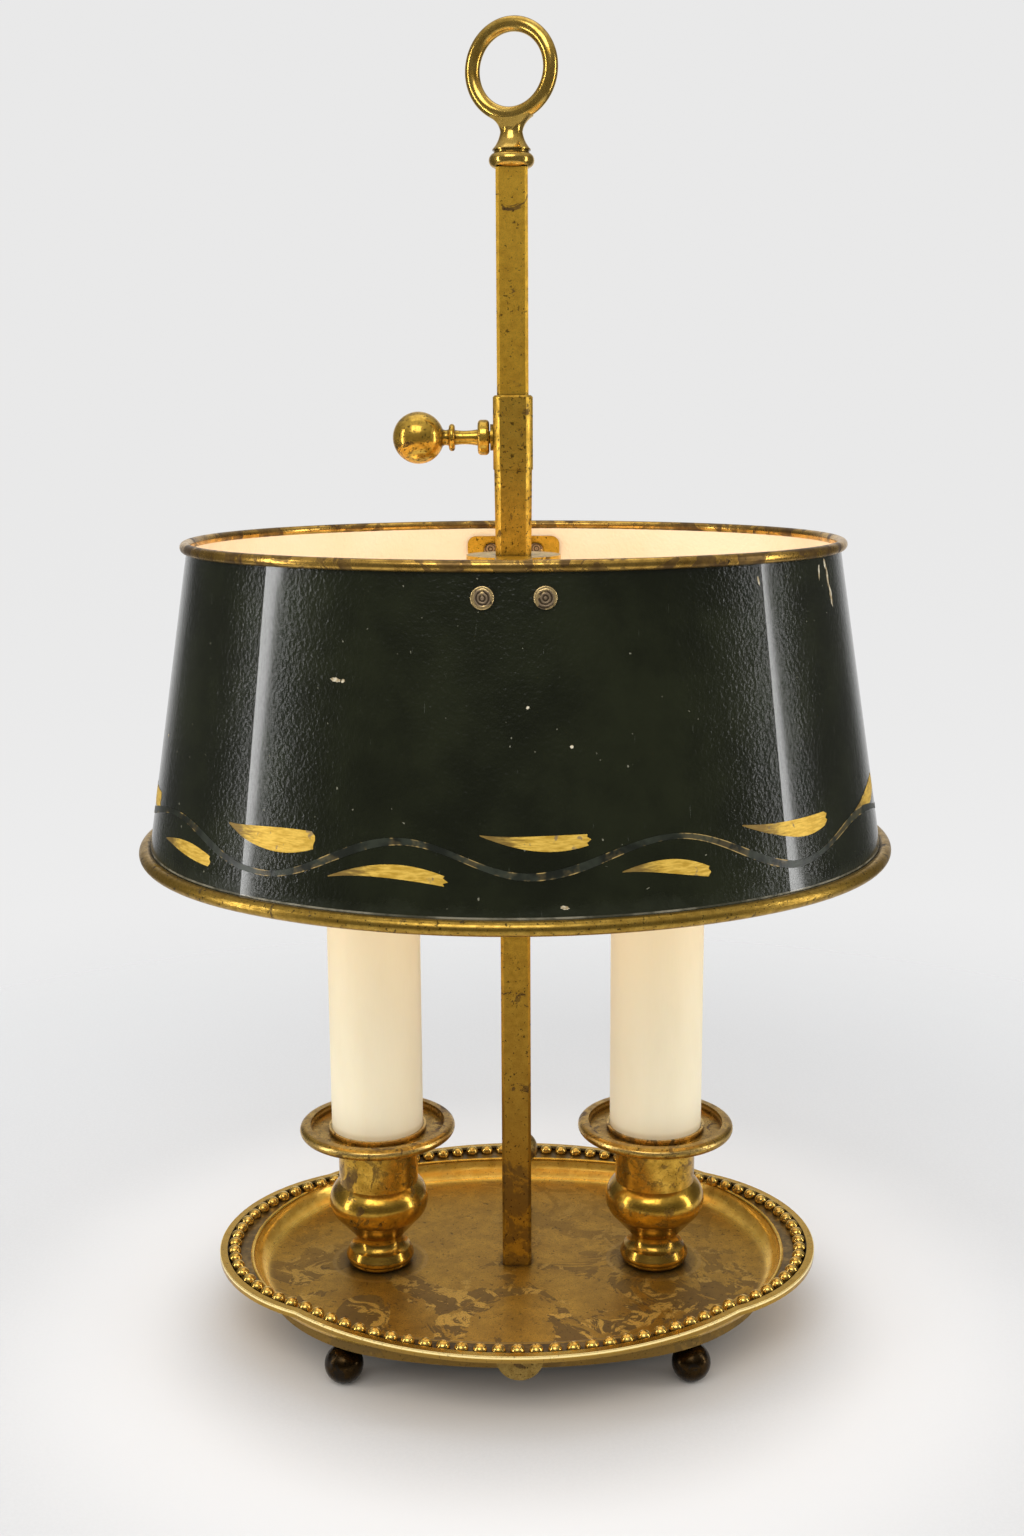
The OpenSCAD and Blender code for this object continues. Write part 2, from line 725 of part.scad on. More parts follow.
module thumbscrew() {
    tip = stem_half + 1.15;
    shoulder = boss_end + 0.3;
    shoulder_h = 3.8;
    shoulder_r = 5.7;
    ring_at = ball_reach - 10.9;
    color(BRASS) translate([0, 0, screw_z]) rotate([0, -90, 0]) {
        translate([0, 0, tip]) cylinder(r = thread_r, h = shoulder - tip + 1);
        rotate_extrude() {
            translate([0, shoulder]) square([shoulder_r - 1.2, shoulder_h]);
            translate([0, shoulder + 1.2]) square([shoulder_r, shoulder_h - 2.4]);
            for (h = [1.2, shoulder_h - 1.2]) translate([shoulder_r - 1.2, shoulder + h]) circle(1.2, $fn = 48);
            difference() {
                translate([0, shoulder]) square([3.3, ring_at - shoulder]);
                translate([2.2 + 20, (shoulder + shoulder_h + ring_at) / 2]) circle(20);
            }
            translate([0, ring_at - 1]) square([3.4, 2]);
            translate([3.4, ring_at]) circle(1, $fn = 48);
            difference() {
                translate([0, ring_at]) square([3.4, 5]);
                translate([2.45 + 1.6, ring_at + 2]) circle(1.6, $fn = 48);
            }
        }
        translate([0, 0, ball_reach]) sphere(d = ball_d);
    }
}

tray();
bead_border();
front_lug();
ball_feet();
base_cover();
cover_screws();
cord_bushing();
stem();
stem_screw();
stem_washer();
finial();
translate([-light_x, 0, 0]) cup();  // left_cup
translate([light_x, 0, 0]) cup();  // right_cup
translate([-light_x, 0, 0]) pan();  // left_pan
translate([light_x, 0, 0]) pan();  // right_pan
cup_nuts();
translate([-light_x, 0, 0]) nipple();  // left_nipple
translate([light_x, 0, 0]) nipple();  // right_nipple
translate([-light_x, 0, 0]) socket();  // left_socket
translate([light_x, 0, 0]) socket();  // right_socket
translate([-light_x, 0, 0]) candle_sleeve();  // left_candle_sleeve
translate([light_x, 0, 0]) candle_sleeve();  // right_candle_sleeve
translate([-light_x, 0, 0]) bulb_glass();  // left_bulb_glass
translate([light_x, 0, 0]) bulb_glass();  // right_bulb_glass
translate([-light_x, 0, 0]) bulb_cap();  // left_bulb_cap
translate([light_x, 0, 0]) bulb_cap();  // right_bulb_cap
lead(-1);  // left_lead
lead(1);  // right_lead
switch_body();
switch_nut();
switch_knob();
shade_shell();
shade_top_bead();
shade_bottom_bead();
shade_bracket();
bracket_rivets();
slide_sleeve();
clamp_collar();
pressure_pad();
thumbscrew();
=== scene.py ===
# %% [markdown]
# # A bouillotte lamp in aged brass and painted tin
#
# The lamp's shapes were drawn as solids, and this script dresses them. The solids come in
# already smooth and exact, so they stay, and each gets a finish. What a solid can't show is made
# here: the gilt leaves and wavy line brushed along the shade, and the places where its paint has
# chipped. Then come the paper-white room, its lights and the camera.
#
# First the imported lamp is loaded. Every piece of it sits in its true place, in metres.

# %% Load the lamp
import math
import bmesh
import bpy
from mathutils import Matrix, Vector


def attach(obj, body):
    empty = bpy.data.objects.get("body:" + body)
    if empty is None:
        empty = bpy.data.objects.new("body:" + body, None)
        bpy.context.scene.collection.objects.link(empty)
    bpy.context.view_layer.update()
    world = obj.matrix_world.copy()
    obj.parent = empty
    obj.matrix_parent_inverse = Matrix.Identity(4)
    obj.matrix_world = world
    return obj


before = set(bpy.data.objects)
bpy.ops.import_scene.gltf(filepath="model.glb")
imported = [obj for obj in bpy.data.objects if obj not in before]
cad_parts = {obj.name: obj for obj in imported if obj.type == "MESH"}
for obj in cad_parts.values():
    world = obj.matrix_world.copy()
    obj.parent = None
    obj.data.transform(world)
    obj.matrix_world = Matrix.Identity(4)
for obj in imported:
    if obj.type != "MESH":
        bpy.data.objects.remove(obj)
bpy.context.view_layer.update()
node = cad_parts
mm = 0.001

# %% [markdown]
# ## Writing a finish
#
# A finish is a small tree of nodes: patterns go in on the left and one Principled shader comes out
# on the right. Writing the tree by hand needs the same few moves again and again, so these helpers
# add one node each. A value that is a socket gets a link, and any other value is typed in.

# %% Helpers that add one node each
def add(tree, kind, sockets=None, **settings):
    """Adds a node, sets its settings, and links or fills its sockets."""
    made = tree.nodes.new(kind)
    for name, value in settings.items():
        setattr(made, name, value)
    for name, value in (sockets or {}).items():
        if isinstance(value, bpy.types.NodeSocket):
            tree.links.new(value, made.inputs[name])
        else:
            made.inputs[name].default_value = value
    return made


def maths(tree, operation, a, b=0.0):
    """One sum on one or two values."""
    return add(tree, "ShaderNodeMath", {0: a, 1: b}, operation=operation).outputs[0]


def between(tree, value, low, high, start=0.0, end=1.0):
    """start below low, end above high, and a soft step from one to the other."""
    return add(tree, "ShaderNodeMapRange",
               {"Value": value, "From Min": low, "From Max": high, "To Min": start, "To Max": end},
               interpolation_type="SMOOTHSTEP").outputs["Result"]


def blend(tree, share, under, over):
    """The colour over laid on the colour under, as far as share says."""
    made = add(tree, "ShaderNodeMix", {"Factor": share}, data_type="RGBA", clamp_factor=True)
    for socket, colour in ((made.inputs[6], under), (made.inputs[7], over)):
        if isinstance(colour, bpy.types.NodeSocket):
            tree.links.new(colour, socket)
        else:
            socket.default_value = (*colour, 1)
    return made.outputs[2]


def share_of(tree, mask, share):
    """A mask at only a share of its strength."""
    return maths(tree, "MULTIPLY", mask, share)


def noise(tree, where, scale, detail=4.0, roughness=0.6, distortion=0.0):
    """Clouds from 0 to 1. Scale is how many there are in a metre."""
    return add(tree, "ShaderNodeTexNoise",
               {"Vector": where, "Scale": scale, "Detail": detail, "Roughness": roughness,
                "Distortion": distortion}).outputs["Fac"]


def here_on(tree):
    """Where on the lamp the shaded point is, in metres."""
    return add(tree, "ShaderNodeTexCoord").outputs["Object"]


def height_of(tree, where):
    """The Z part of a vector, which is a height when the vector is a place."""
    return add(tree, "ShaderNodeSeparateXYZ", {0: where}).outputs["Z"]


def vectors(tree, operation, a, b=(0, 0, 0)):
    """One sum on one or two vectors."""
    return add(tree, "ShaderNodeVectorMath", {0: a, 1: b}, operation=operation).outputs[0]


def length_of(tree, vector):
    return add(tree, "ShaderNodeVectorMath", {0: vector}, operation="LENGTH").outputs["Value"]


def stretched(tree, stretch):
    """The place on the lamp, with each axis stretched, which squeezes a pattern along it."""
    return add(tree, "ShaderNodeMapping", {"Vector": here_on(tree), "Scale": stretch}).outputs[0]


print("helpers: add, maths, between, blend, share_of, noise, here_on, height_of, vectors, length_of,",
      "stretched")

# %% [markdown]
# ## Effects that several finishes share
#
# Old brass isn't one colour. It has broad brown patches where the lacquer held on, small dark
# flecks, and a soft cloudiness over all. A noise pattern with its middle cut out by a threshold
# gives patches with a crisp edge, and the threshold is what a finish changes to get more or less
# of them. The effect is a node group, so each finish holds it with numbers of its own.

# %% A helper that starts a node group
def new_effect(name, numbers, outputs):
    """A node group with number inputs, a Shift to move its pattern, and number outputs."""
    group = bpy.data.node_groups.new(name, "ShaderNodeTree")
    for title, value in numbers.items():
        socket = group.interface.new_socket(title, in_out="INPUT", socket_type="NodeSocketFloat")
        socket.default_value = value
    group.interface.new_socket("Shift", in_out="INPUT", socket_type="NodeSocketVector")
    for title in outputs:
        group.interface.new_socket(title, in_out="OUTPUT", socket_type="NodeSocketFloat")
    return group, group.nodes.new("NodeGroupInput").outputs, group.nodes.new("NodeGroupOutput")


def effect(tree, group, shift=(0, 0, 0), **numbers):
    """Places a group in a finish. Share_of_patches=0.4 fills its input called Share of patches."""
    made = add(tree, "ShaderNodeGroup", node_tree=group)
    made.inputs["Shift"].default_value = shift
    for name, value in numbers.items():
        made.inputs[name.replace("_", " ")].default_value = value
    return made.outputs


# %% Tarnish: patches, flecks, cloud and their relief
tarnish, t_in, t_out = new_effect(
    "tarnish", {"Patch scale": 60, "Share of patches": 0.4, "Fleck scale": 900, "Share of flecks": 0.3},
    ("Patches", "Flecks", "Cloud", "Grain", "Height"))
here = vectors(tarnish, "ADD", here_on(tarnish), t_in["Shift"])
broad = noise(tarnish, here, t_in["Patch scale"], 6, 0.66, 1.1)
cut = maths(tarnish, "SUBTRACT", 0.72, maths(tarnish, "MULTIPLY", t_in["Share of patches"], 0.42))
patches = between(tarnish, maths(tarnish, "SUBTRACT", broad, cut), -0.008, 0.014)
small = noise(tarnish, here, t_in["Fleck scale"], 2.5, 0.55)
cut = maths(tarnish, "SUBTRACT", 0.78, maths(tarnish, "MULTIPLY", t_in["Share of flecks"], 0.36))
flecks = between(tarnish, maths(tarnish, "SUBTRACT", small, cut), -0.02, 0.03)
cloud = noise(tarnish, here, maths(tarnish, "MULTIPLY", t_in["Patch scale"], 3.1), 5, 0.62)
grain = noise(tarnish, here, 2600, 1.5)
relief = maths(tarnish, "SUBTRACT", share_of(tarnish, grain, 0.16),
               maths(tarnish, "ADD", share_of(tarnish, patches, 0.22),
                     share_of(tarnish, flecks, 0.6)))
pores = between(tarnish, grain, 0.36, 0.5, 1.0, 0.0)
for title, value in (("Patches", patches), ("Flecks", flecks), ("Cloud", cloud), ("Grain", pores),
                     ("Height", relief)):
    tarnish.links.new(value, t_out.inputs[title])
print("tarnish has", len(tarnish.nodes), "nodes")

# %% [markdown]
# Polish never reaches the bottom of a groove, so grime stays there, and shade falls there too. This
# effect paints both as one darkening between the beads and where one piece meets the next: an
# Ambient Occlusion node measures how closed in a point is, and a soft step turns that into a mask
# of grime and painted shade.
#
# Turned pieces keep the fine rings that the lathe's tool left. Noise that changes along the axis
# only, and not around it, draws such rings.

# %% Grime and painted shade in the corners
corner_grime_and_shade, c_in, c_out = new_effect("corner grime and shade", {"Reach": 0.003, "Strength": 1.0}, ("GrimeAndShade",))
opened = add(corner_grime_and_shade, "ShaderNodeAmbientOcclusion", {"Distance": c_in["Reach"]},
             samples=6).outputs["AO"]
speckle = noise(corner_grime_and_shade, here_on(corner_grime_and_shade), 1100, 3)
depth = maths(corner_grime_and_shade, "ADD", maths(corner_grime_and_shade, "SUBTRACT", 1.0, opened),
              maths(corner_grime_and_shade, "MULTIPLY", maths(corner_grime_and_shade, "SUBTRACT", speckle, 0.5), 0.35))
corner_grime_and_shade.links.new(maths(corner_grime_and_shade, "MULTIPLY", between(corner_grime_and_shade, depth, 0.16, 0.62),
                            c_in["Strength"]), c_out.inputs["GrimeAndShade"])
print("corner grime and shade has", len(corner_grime_and_shade.nodes), "nodes")

# %% Rings left by the lathe
lathe_rings, l_in, l_out = new_effect(
    "lathe rings", {"Along X": 0.0, "Along Z": 1.0, "Scale": 1500}, ("Rings",))
axis_only = add(lathe_rings, "ShaderNodeCombineXYZ",
                {"X": l_in["Along X"], "Z": l_in["Along Z"]}).outputs[0]
here = vectors(lathe_rings, "MULTIPLY", here_on(lathe_rings), axis_only)
here = vectors(lathe_rings, "ADD", here, l_in["Shift"])
lathe_rings.links.new(noise(lathe_rings, here, l_in["Scale"], 3), l_out.inputs["Rings"])
print("lathe rings has", len(lathe_rings.nodes), "nodes")

# %% [markdown]
# Fine scratches are long and thin. Noise drawn in coordinates that are squeezed along one direction
# comes out as streaks along it, and only its highest peaks are kept. Three layers at three angles
# keep the scratches from looking combed.

# %% Scratches in three directions
scratches, s_in, s_out = new_effect("scratches", {"Scale": 1.0, "Share": 0.5}, ("Lines",))
here = add(scratches, "ShaderNodeVectorMath",
           {0: here_on(scratches), "Scale": s_in["Scale"]},
           operation="SCALE").outputs[0]
cut = maths(scratches, "SUBTRACT", 0.86, share_of(scratches, s_in["Share"], 0.24))
lines = None
for turn, long_way in (((0.1, 0.5, 0), 26), ((0.0, -0.7, 0.2), 34), ((0.2, 1.35, 0), 30)):
    squeezed = add(scratches, "ShaderNodeMapping",
                   {"Vector": here, "Rotation": turn, "Scale": (1500, 900, long_way)}).outputs[0]
    streak = noise(scratches, squeezed, 1.0, 2, 0.5, 0.2)
    layer = between(scratches, maths(scratches, "SUBTRACT", streak, cut), 0.0, 0.05)
    lines = layer if lines is None else maths(scratches, "MAXIMUM", lines, layer)
scratches.links.new(lines, s_out.inputs["Lines"])
print("effects:", ", ".join(g.name for g in bpy.data.node_groups))

# %% [markdown]
# ## Aged brass
#
# One function makes every brass on the lamp, because the real pieces differ only in how much they
# were rubbed. Bright brass shows on what hands polish, brown on what they don't. Oxide is less
# metallic and duller than the metal under it, so the patches also lower Metallic and raise
# Roughness.

# %% The brass finish
def finish(name, **constants):
    """A new material with a Principled shader. The constants are set on the shader's own sockets."""
    material = bpy.data.materials.new(name)
    material.use_nodes = True
    tree = material.node_tree
    shader = tree.nodes["Principled BSDF"]
    for title, value in constants.items():
        shader.inputs[title.replace("_", " ")].default_value = value
    return material, tree, shader


def relief_on(tree, shader, height, deep=0.00003):
    """Bumps too fine to model. Deep is how far, in metres, a height of 1 stands up."""
    bump = add(tree, "ShaderNodeBump", {"Height": height, "Distance": deep, "Strength": 1.0})
    tree.links.new(bump.outputs[0], shader.inputs["Normal"])


def zone(tree, where, low, high, soft):
    """A mask of the heights from low to high, in metres, with soft edges."""
    height = height_of(tree, where)
    return maths(tree, "MULTIPLY", between(tree, height, low - soft, low + soft),
                 between(tree, height, high - soft, high + soft, 1.0, 0.0))


DARKEST_STAIN = 0.62  # how much of the brown a stain may show at most
METAL_UNDER_OXIDE = 0.7  # Metallic where the brown is full


def aged_brass(name, bright, worn, brown, patches=(60, 0.4), flecks=(900, 0.3), gloss=(0.22, 0.5),
               grime_and_shade=(0.003, 1.0), rings=None, shift=(0, 0, 0), bands=(), stains=(), metal=0.93):
    """Aged brass from bright to worn gold with brown on it.

    patches and flecks are (scale, share), gloss is the roughness where it is bright and where it is
    worn, grime_and_shade is (reach, strength) of the grime and painted shade in grooves and joints,
    and rings says how far the lathe's rings run along X and Z. A band (low, high, soft, share,
    colour) tints a zone of heights; on the cups and the stem the bands are painted shade. A stain
    (low, high, soft, scale, share) browns a zone of heights in patches.
    """
    material, tree, shader = finish(name)
    age = effect(tree, tarnish, shift, Patch_scale=patches[0], Share_of_patches=patches[1],
                 Fleck_scale=flecks[0], Share_of_flecks=flecks[1])
    colour = blend(tree, between(tree, age["Cloud"], 0.3, 0.68), worn, bright)
    brown_share = maths(tree, "MULTIPLY", age["Patches"], between(tree, age["Cloud"], 0.2, 0.8, 1.0, 0.55))
    where = here_on(tree)
    for low, high, soft, share, band_colour in bands:
        inside = zone(tree, where, low, high, soft)
        colour = blend(tree, maths(tree, "MULTIPLY", inside, share), colour, band_colour)
    for low, high, soft, scale, share in stains:
        spread = maths(tree, "MULTIPLY", noise(tree, where, scale, 6, 0.68, 0.6),
                       zone(tree, where, low, high, soft))
        stain = between(tree, spread, 0.58 - 0.2 * share, 0.68 - 0.2 * share, 0.0, DARKEST_STAIN)
        brown_share = maths(tree, "MAXIMUM", brown_share, stain)
    colour = blend(tree, share_of(tree, age["Grain"], 0.3), colour, [c * 0.4 for c in worn])
    colour = blend(tree, brown_share, colour, brown)
    colour = blend(tree, share_of(tree, age["Flecks"], 0.8), colour, [c * 0.3 for c in brown])
    # Grime and painted shade: darker where the AO node finds grooves and joints.
    grime_and_shade_mask = effect(tree, corner_grime_and_shade, Reach=grime_and_shade[0], Strength=grime_and_shade[1])["GrimeAndShade"]
    colour = blend(tree, share_of(tree, grime_and_shade_mask, 0.85), colour, [c * 0.32 for c in brown])
    tree.links.new(colour, shader.inputs["Base Color"])
    tree.links.new(between(tree, brown_share, 0.0, 1.0, metal, METAL_UNDER_OXIDE),
                   shader.inputs["Metallic"])
    rough = maths(tree, "ADD", between(tree, age["Cloud"], 0.3, 0.7, gloss[1], gloss[0]),
                  share_of(tree, brown_share, 0.1))
    tree.links.new(rough, shader.inputs["Roughness"])
    height = age["Height"]
    if rings:
        turned = effect(tree, lathe_rings, shift, Along_X=rings[0], Along_Z=rings[1])["Rings"]
        height = maths(tree, "ADD", height, share_of(tree, turned, 0.3))
    relief_on(tree, shader, height)
    return material


GOLD = (0.78, 0.46, 0.066)
WORN_GOLD = (0.48, 0.265, 0.03)
BROWN = (0.085, 0.045, 0.013)
print("colours: gold", GOLD, "worn", WORN_GOLD, "brown", BROWN)


def give(material, *names):
    """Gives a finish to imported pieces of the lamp."""
    for name in names:
        for slot in node[name].material_slots:
            slot.material = material
    print(material.name, "->", ", ".join(names))


# %% [markdown]
# Each brass piece has its own wear. The cups and the thumbscrew are turned, so they carry rings. The
# cups get bands of painted shade on the foot and the lower bowl. The stem has brown stains near the
# tray and where the slide never rubs it, and a band of painted shade over its lower part. The scale
# is how many patches fit in a metre, and the shift gives every piece another part of the same
# pattern.

# %% Brass of the turned cups, finial, stem, slide and clamp
# The bands are painted shade on the foot and the lower bowl; the stains are brown patches.
cup_brass = aged_brass("cup brass", GOLD, WORN_GOLD, BROWN, (80, 0.24), (1100, 0.34), (0.17, 0.26),
                       rings=(0, 1), shift=(0.3, 0.1, 0.2),
                       bands=((0.0150, 0.0292, 0.0012, 0.5, (0.30, 0.165, 0.028)),
                              (0.0292, 0.0385, 0.0035, 0.6, (0.22, 0.12, 0.02))),
                       stains=((0.0475, 0.0700, 0.0030, 260, 0.42), (0.0340, 0.0475, 0.0040, 180, 0.2)))
give(cup_brass, "left_cup", "right_cup")
finial_brass = aged_brass("finial brass", (0.88, 0.57, 0.13), (0.60, 0.36, 0.06), BROWN, (90, 0.14),
                          (1300, 0.22), (0.16, 0.24), rings=(0, 0.3), shift=(0.7, 0.3, 0.0))
give(finial_brass, "finial")
# The band is painted shade over the lower stem; the stains are brown patches.
stem_brass = aged_brass("stem brass", (0.76, 0.44, 0.042), (0.54, 0.295, 0.024), BROWN, (110, 0.2),
                        (900, 0.34), (0.34, 0.44), shift=(0.2, 0.9, 0.1), metal=0.78,
                        bands=((0.0, 0.120, 0.055, 0.8, (0.30, 0.155, 0.015)),),
                        stains=((0.0, 0.062, 0.012, 120, 0.7), (0.30, 0.33, 0.012, 120, 0.45)))
give(stem_brass, "stem")
slide_brass = aged_brass("slide brass", (0.80, 0.49, 0.065), (0.54, 0.31, 0.035), BROWN, (100, 0.34),
                         (1000, 0.46), (0.3, 0.4), rings=(0, 1), shift=(0.5, 0.2, 0.4), metal=0.86)
give(slide_brass, "slide_sleeve", "clamp_collar")
screw_brass = aged_brass("thumbscrew brass", (0.84, 0.52, 0.08), (0.56, 0.33, 0.045), BROWN, (130, 0.26),
                         (950, 0.46), (0.17, 0.26), rings=(1, 0), shift=(0.1, 0.6, 0.3), metal=0.84)
give(screw_brass, "thumbscrew")
pan_brass = aged_brass("wax pan brass", (0.62, 0.38, 0.075), (0.32, 0.185, 0.035), BROWN, (95, 0.32),
                       (1200, 0.4), (0.24, 0.36), grime_and_shade=(0.0014, 0.7), rings=(0, 1), shift=(0.4, 0.4, 0.6),
                       bands=((0.0682, 0.0690, 0.00012, 0.9, (0.92, 0.62, 0.2)),))
give(pan_brass, "left_pan", "right_pan")
bracket_brass = aged_brass("bracket brass", (0.82, 0.52, 0.06), (0.58, 0.35, 0.035), BROWN, (80, 0.24),
                           (900, 0.36), (0.28, 0.4), shift=(0.8, 0.5, 0.2))
give(bracket_brass, "shade_bracket")
lug_brass = aged_brass("lug brass", (0.42, 0.28, 0.075), (0.28, 0.175, 0.045), BROWN, (120, 0.3),
                       (900, 0.4), (0.38, 0.52), shift=(0.6, 0.1, 0.5))
give(lug_brass, "front_lug", "switch_knob", "switch_nut")

# %% [markdown]
# The beads round the tray and the rolled edges of the shade were gilded, so they are brighter, with
# grime and painted shade dark between them.

# %% Gilded beads and edges
bead_gold = aged_brass("bead gold", (0.98, 0.66, 0.17), (0.72, 0.44, 0.08), (0.085, 0.046, 0.014),
                       (190, 0.22), (900, 0.36), (0.17, 0.26), grime_and_shade=(0.0016, 1.0), shift=(0.2, 0.2, 0.7))
give(bead_gold, "bead_border")
edge_gold = aged_brass("shade edge gold", (0.58, 0.36, 0.065), (0.38, 0.22, 0.032), (0.065, 0.042, 0.018),
                       (130, 0.22), (900, 0.4), (0.27, 0.37), grime_and_shade=(0.002, 0.9), shift=(0.9, 0.1, 0.3))
give(edge_gold, "shade_bottom_bead")
upper_edge = aged_brass("upper edge brass", (0.78, 0.47, 0.10), (0.36, 0.20, 0.04), (0.085, 0.045, 0.014),
                        (48, 0.5), (1000, 0.26), (0.2, 0.3), grime_and_shade=(0.002, 0.8), shift=(0.3, 0.8, 0.1))
give(upper_edge, "shade_top_bead")

# %% [markdown]
# ## The tray
#
# The tray wears differently from place to place. Its cove is bright gold, the flat band under the
# beads is dark with old polish, and the floor is mottled with islands of clean gold in brown. Round
# each cup's foot the floor gets a dark ring of painted shade, with a paler ring round that, and the
# lip's edge gets a painted highlight. Each zone has its own height, so the Z coordinate tells them
# apart, the way a face points parts the lip's top from its side, and the distance from a cup's axis
# draws its ring. The floor comes first.

# %% The tray's floor
def ring_mask(tree, where, x, radius, wide):
    """A soft ring of that radius about an upright axis at x."""
    away = vectors(tree, "MULTIPLY", vectors(tree, "SUBTRACT", where, (x, 0, 0)), (1, 1, 0))
    off = maths(tree, "ABSOLUTE", maths(tree, "SUBTRACT", length_of(tree, away), radius))
    return between(tree, off, wide * 0.35, wide, 1.0, 0.0)


# Heights above the table, where the tray's zones begin and end
UNDERSIDE, FLOOR_TOP, COVE_LOW, COVE_HIGH = 16.5 * mm, 17.05 * mm, 18.0 * mm, 23.4 * mm
RIDGE_LOW, BAND_LOW, BAND_HIGH, RIDGE_HIGH = 22.4 * mm, 24.10 * mm, 24.30 * mm, 24.5 * mm
LIP_FACE, LIP_LOW, LIP_BEND, LIP_CROWN = 23.55 * mm, 24.9 * mm, 25.6 * mm, 25.7 * mm
CUP_X, DARK_RING, PALE_RING = 48.9 * mm, 13.6 * mm, 16.4 * mm  # a cup's axis, and radii about it
tray_brass, tree, shader = finish("tray brass")
where = here_on(tree)
apart = add(tree, "ShaderNodeSeparateXYZ", {0: where}).outputs
height, nearness = apart["Z"], maths(tree, "MULTIPLY", apart["Y"], -1.0)
age = effect(tree, tarnish, (0.13, 0.42, 0.0), Patch_scale=34, Share_of_patches=0.47, Fleck_scale=620,
             Share_of_flecks=0.34)
fine_age = effect(tree, tarnish, (0.5, 0.12, 0.3), Patch_scale=95, Share_of_patches=0.43, Fleck_scale=1300,
                  Share_of_flecks=0.36)
floor = blend(tree, between(tree, age["Cloud"], 0.3, 0.68), (0.48, 0.272, 0.037), (0.63, 0.366, 0.051))
floor = blend(tree, between(tree, fine_age["Cloud"], 0.42, 0.7, 0.0, 0.4), floor, (0.32, 0.18, 0.03))
aged_front = between(tree, nearness, -40 * mm, 55 * mm, 0.35, 1.0)
patchy = maths(tree, "MULTIPLY", age["Patches"], aged_front)
floor = blend(tree, share_of(tree, patchy, 0.8), floor, (0.15, 0.092, 0.033))
islands = maths(tree, "MULTIPLY", fine_age["Patches"], patchy)
floor = blend(tree, share_of(tree, islands, 0.9), floor, (0.80, 0.50, 0.10))
floor = blend(tree, share_of(tree, fine_age["Grain"], 0.42), floor, (0.20, 0.12, 0.035))
floor = blend(tree, share_of(tree, age["Flecks"], 0.55), floor, (0.07, 0.044, 0.016))
for x in (-CUP_X, CUP_X):
    # Painted shade: a dark ring on the floor round each cup's foot, and a paler ring round that.
    foot_shade_ring = share_of(tree, ring_mask(tree, where, x, DARK_RING, 2.6 * mm), 0.45)
    pale_ring = share_of(tree, ring_mask(tree, where, x, PALE_RING, 1.0 * mm), 0.28)
    floor = blend(tree, foot_shade_ring, floor, (0.11, 0.075, 0.035))
    floor = blend(tree, pale_ring, floor, (0.50, 0.34, 0.12))
print("the tray's floor takes", len(tree.nodes), "nodes")

# %% [markdown]
# The rest of the tray is laid over the floor from the inside out: the bright cove, the ridge inside
# the beads, darkened at the front as painted shade, the dark band under the beads, and the lip, whose
# side and upper edge get a painted highlight. The tray's underside gets painted shade, and grooves
# and joints get grime and painted shade.

# %% The tray's cove, beaded band and lip
bright = blend(tree, between(tree, fine_age["Cloud"], 0.32, 0.66), (0.84, 0.49, 0.065), (0.99, 0.62, 0.11))
bright = blend(tree, share_of(tree, fine_age["Patches"], 0.22), bright, (0.26, 0.14, 0.03))
colour = blend(tree, between(tree, height, FLOOR_TOP, COVE_LOW), floor, bright)
faces_up = height_of(tree, add(tree, "ShaderNodeNewGeometry").outputs["Normal"])
flat_top = between(tree, faces_up, 0.9, 0.98)
band = maths(tree, "MULTIPLY", zone(tree, where, BAND_LOW, BAND_HIGH, 0.05 * mm), flat_top)
# The ridge inside the beads, darkened at the front as painted shade.
ridge = maths(tree, "MULTIPLY", between(tree, height, RIDGE_LOW, RIDGE_LOW + 0.5 * mm),
              between(tree, height, RIDGE_HIGH, RIDGE_HIGH + 0.1 * mm, 1.0, 0.0))
ridge = maths(tree, "MULTIPLY", ridge, between(tree, nearness, 42 * mm, 62 * mm))
colour = blend(tree, share_of(tree, ridge, 0.85), colour, (0.16, 0.095, 0.03))
old_polish = blend(tree, between(tree, fine_age["Cloud"], 0.42, 0.7), (0.075, 0.046, 0.017),
                   (0.27, 0.165, 0.045))
colour = blend(tree, share_of(tree, band, 0.9), colour, old_polish)
upright = between(tree, faces_up, 0.2, 0.6, 1.0, 0.0)
# Painted highlight: pale gold on the lip's upright side and its upper edge.
edge = maths(tree, "MAXIMUM", upright, between(tree, height, LIP_BEND, LIP_BEND + 0.05 * mm, 1.0, 0.0))
edge = maths(tree, "MULTIPLY", between(tree, height, LIP_LOW, LIP_LOW + 0.1 * mm), edge)
colour = blend(tree, edge, colour, (1.0, 0.80, 0.36))
crown = maths(tree, "MULTIPLY", between(tree, height, LIP_CROWN, LIP_CROWN + 0.05 * mm), flat_top)
colour = blend(tree, share_of(tree, crown, 0.6), colour, (0.50, 0.29, 0.042))
face = maths(tree, "MULTIPLY", zone(tree, where, LIP_FACE, LIP_LOW + 0.05 * mm, 0.03 * mm), upright)
colour = blend(tree, share_of(tree, face, 0.75), colour, (0.33, 0.19, 0.032))
# Painted shade along the tray's underside.
under = between(tree, height, UNDERSIDE, UNDERSIDE + 0.4 * mm, 1.0, 0.0)
colour = blend(tree, share_of(tree, under, 0.8), colour, (0.26, 0.165, 0.05))
colour = blend(tree, share_of(tree, fine_age["Flecks"], 0.6), colour, (0.06, 0.036, 0.013))
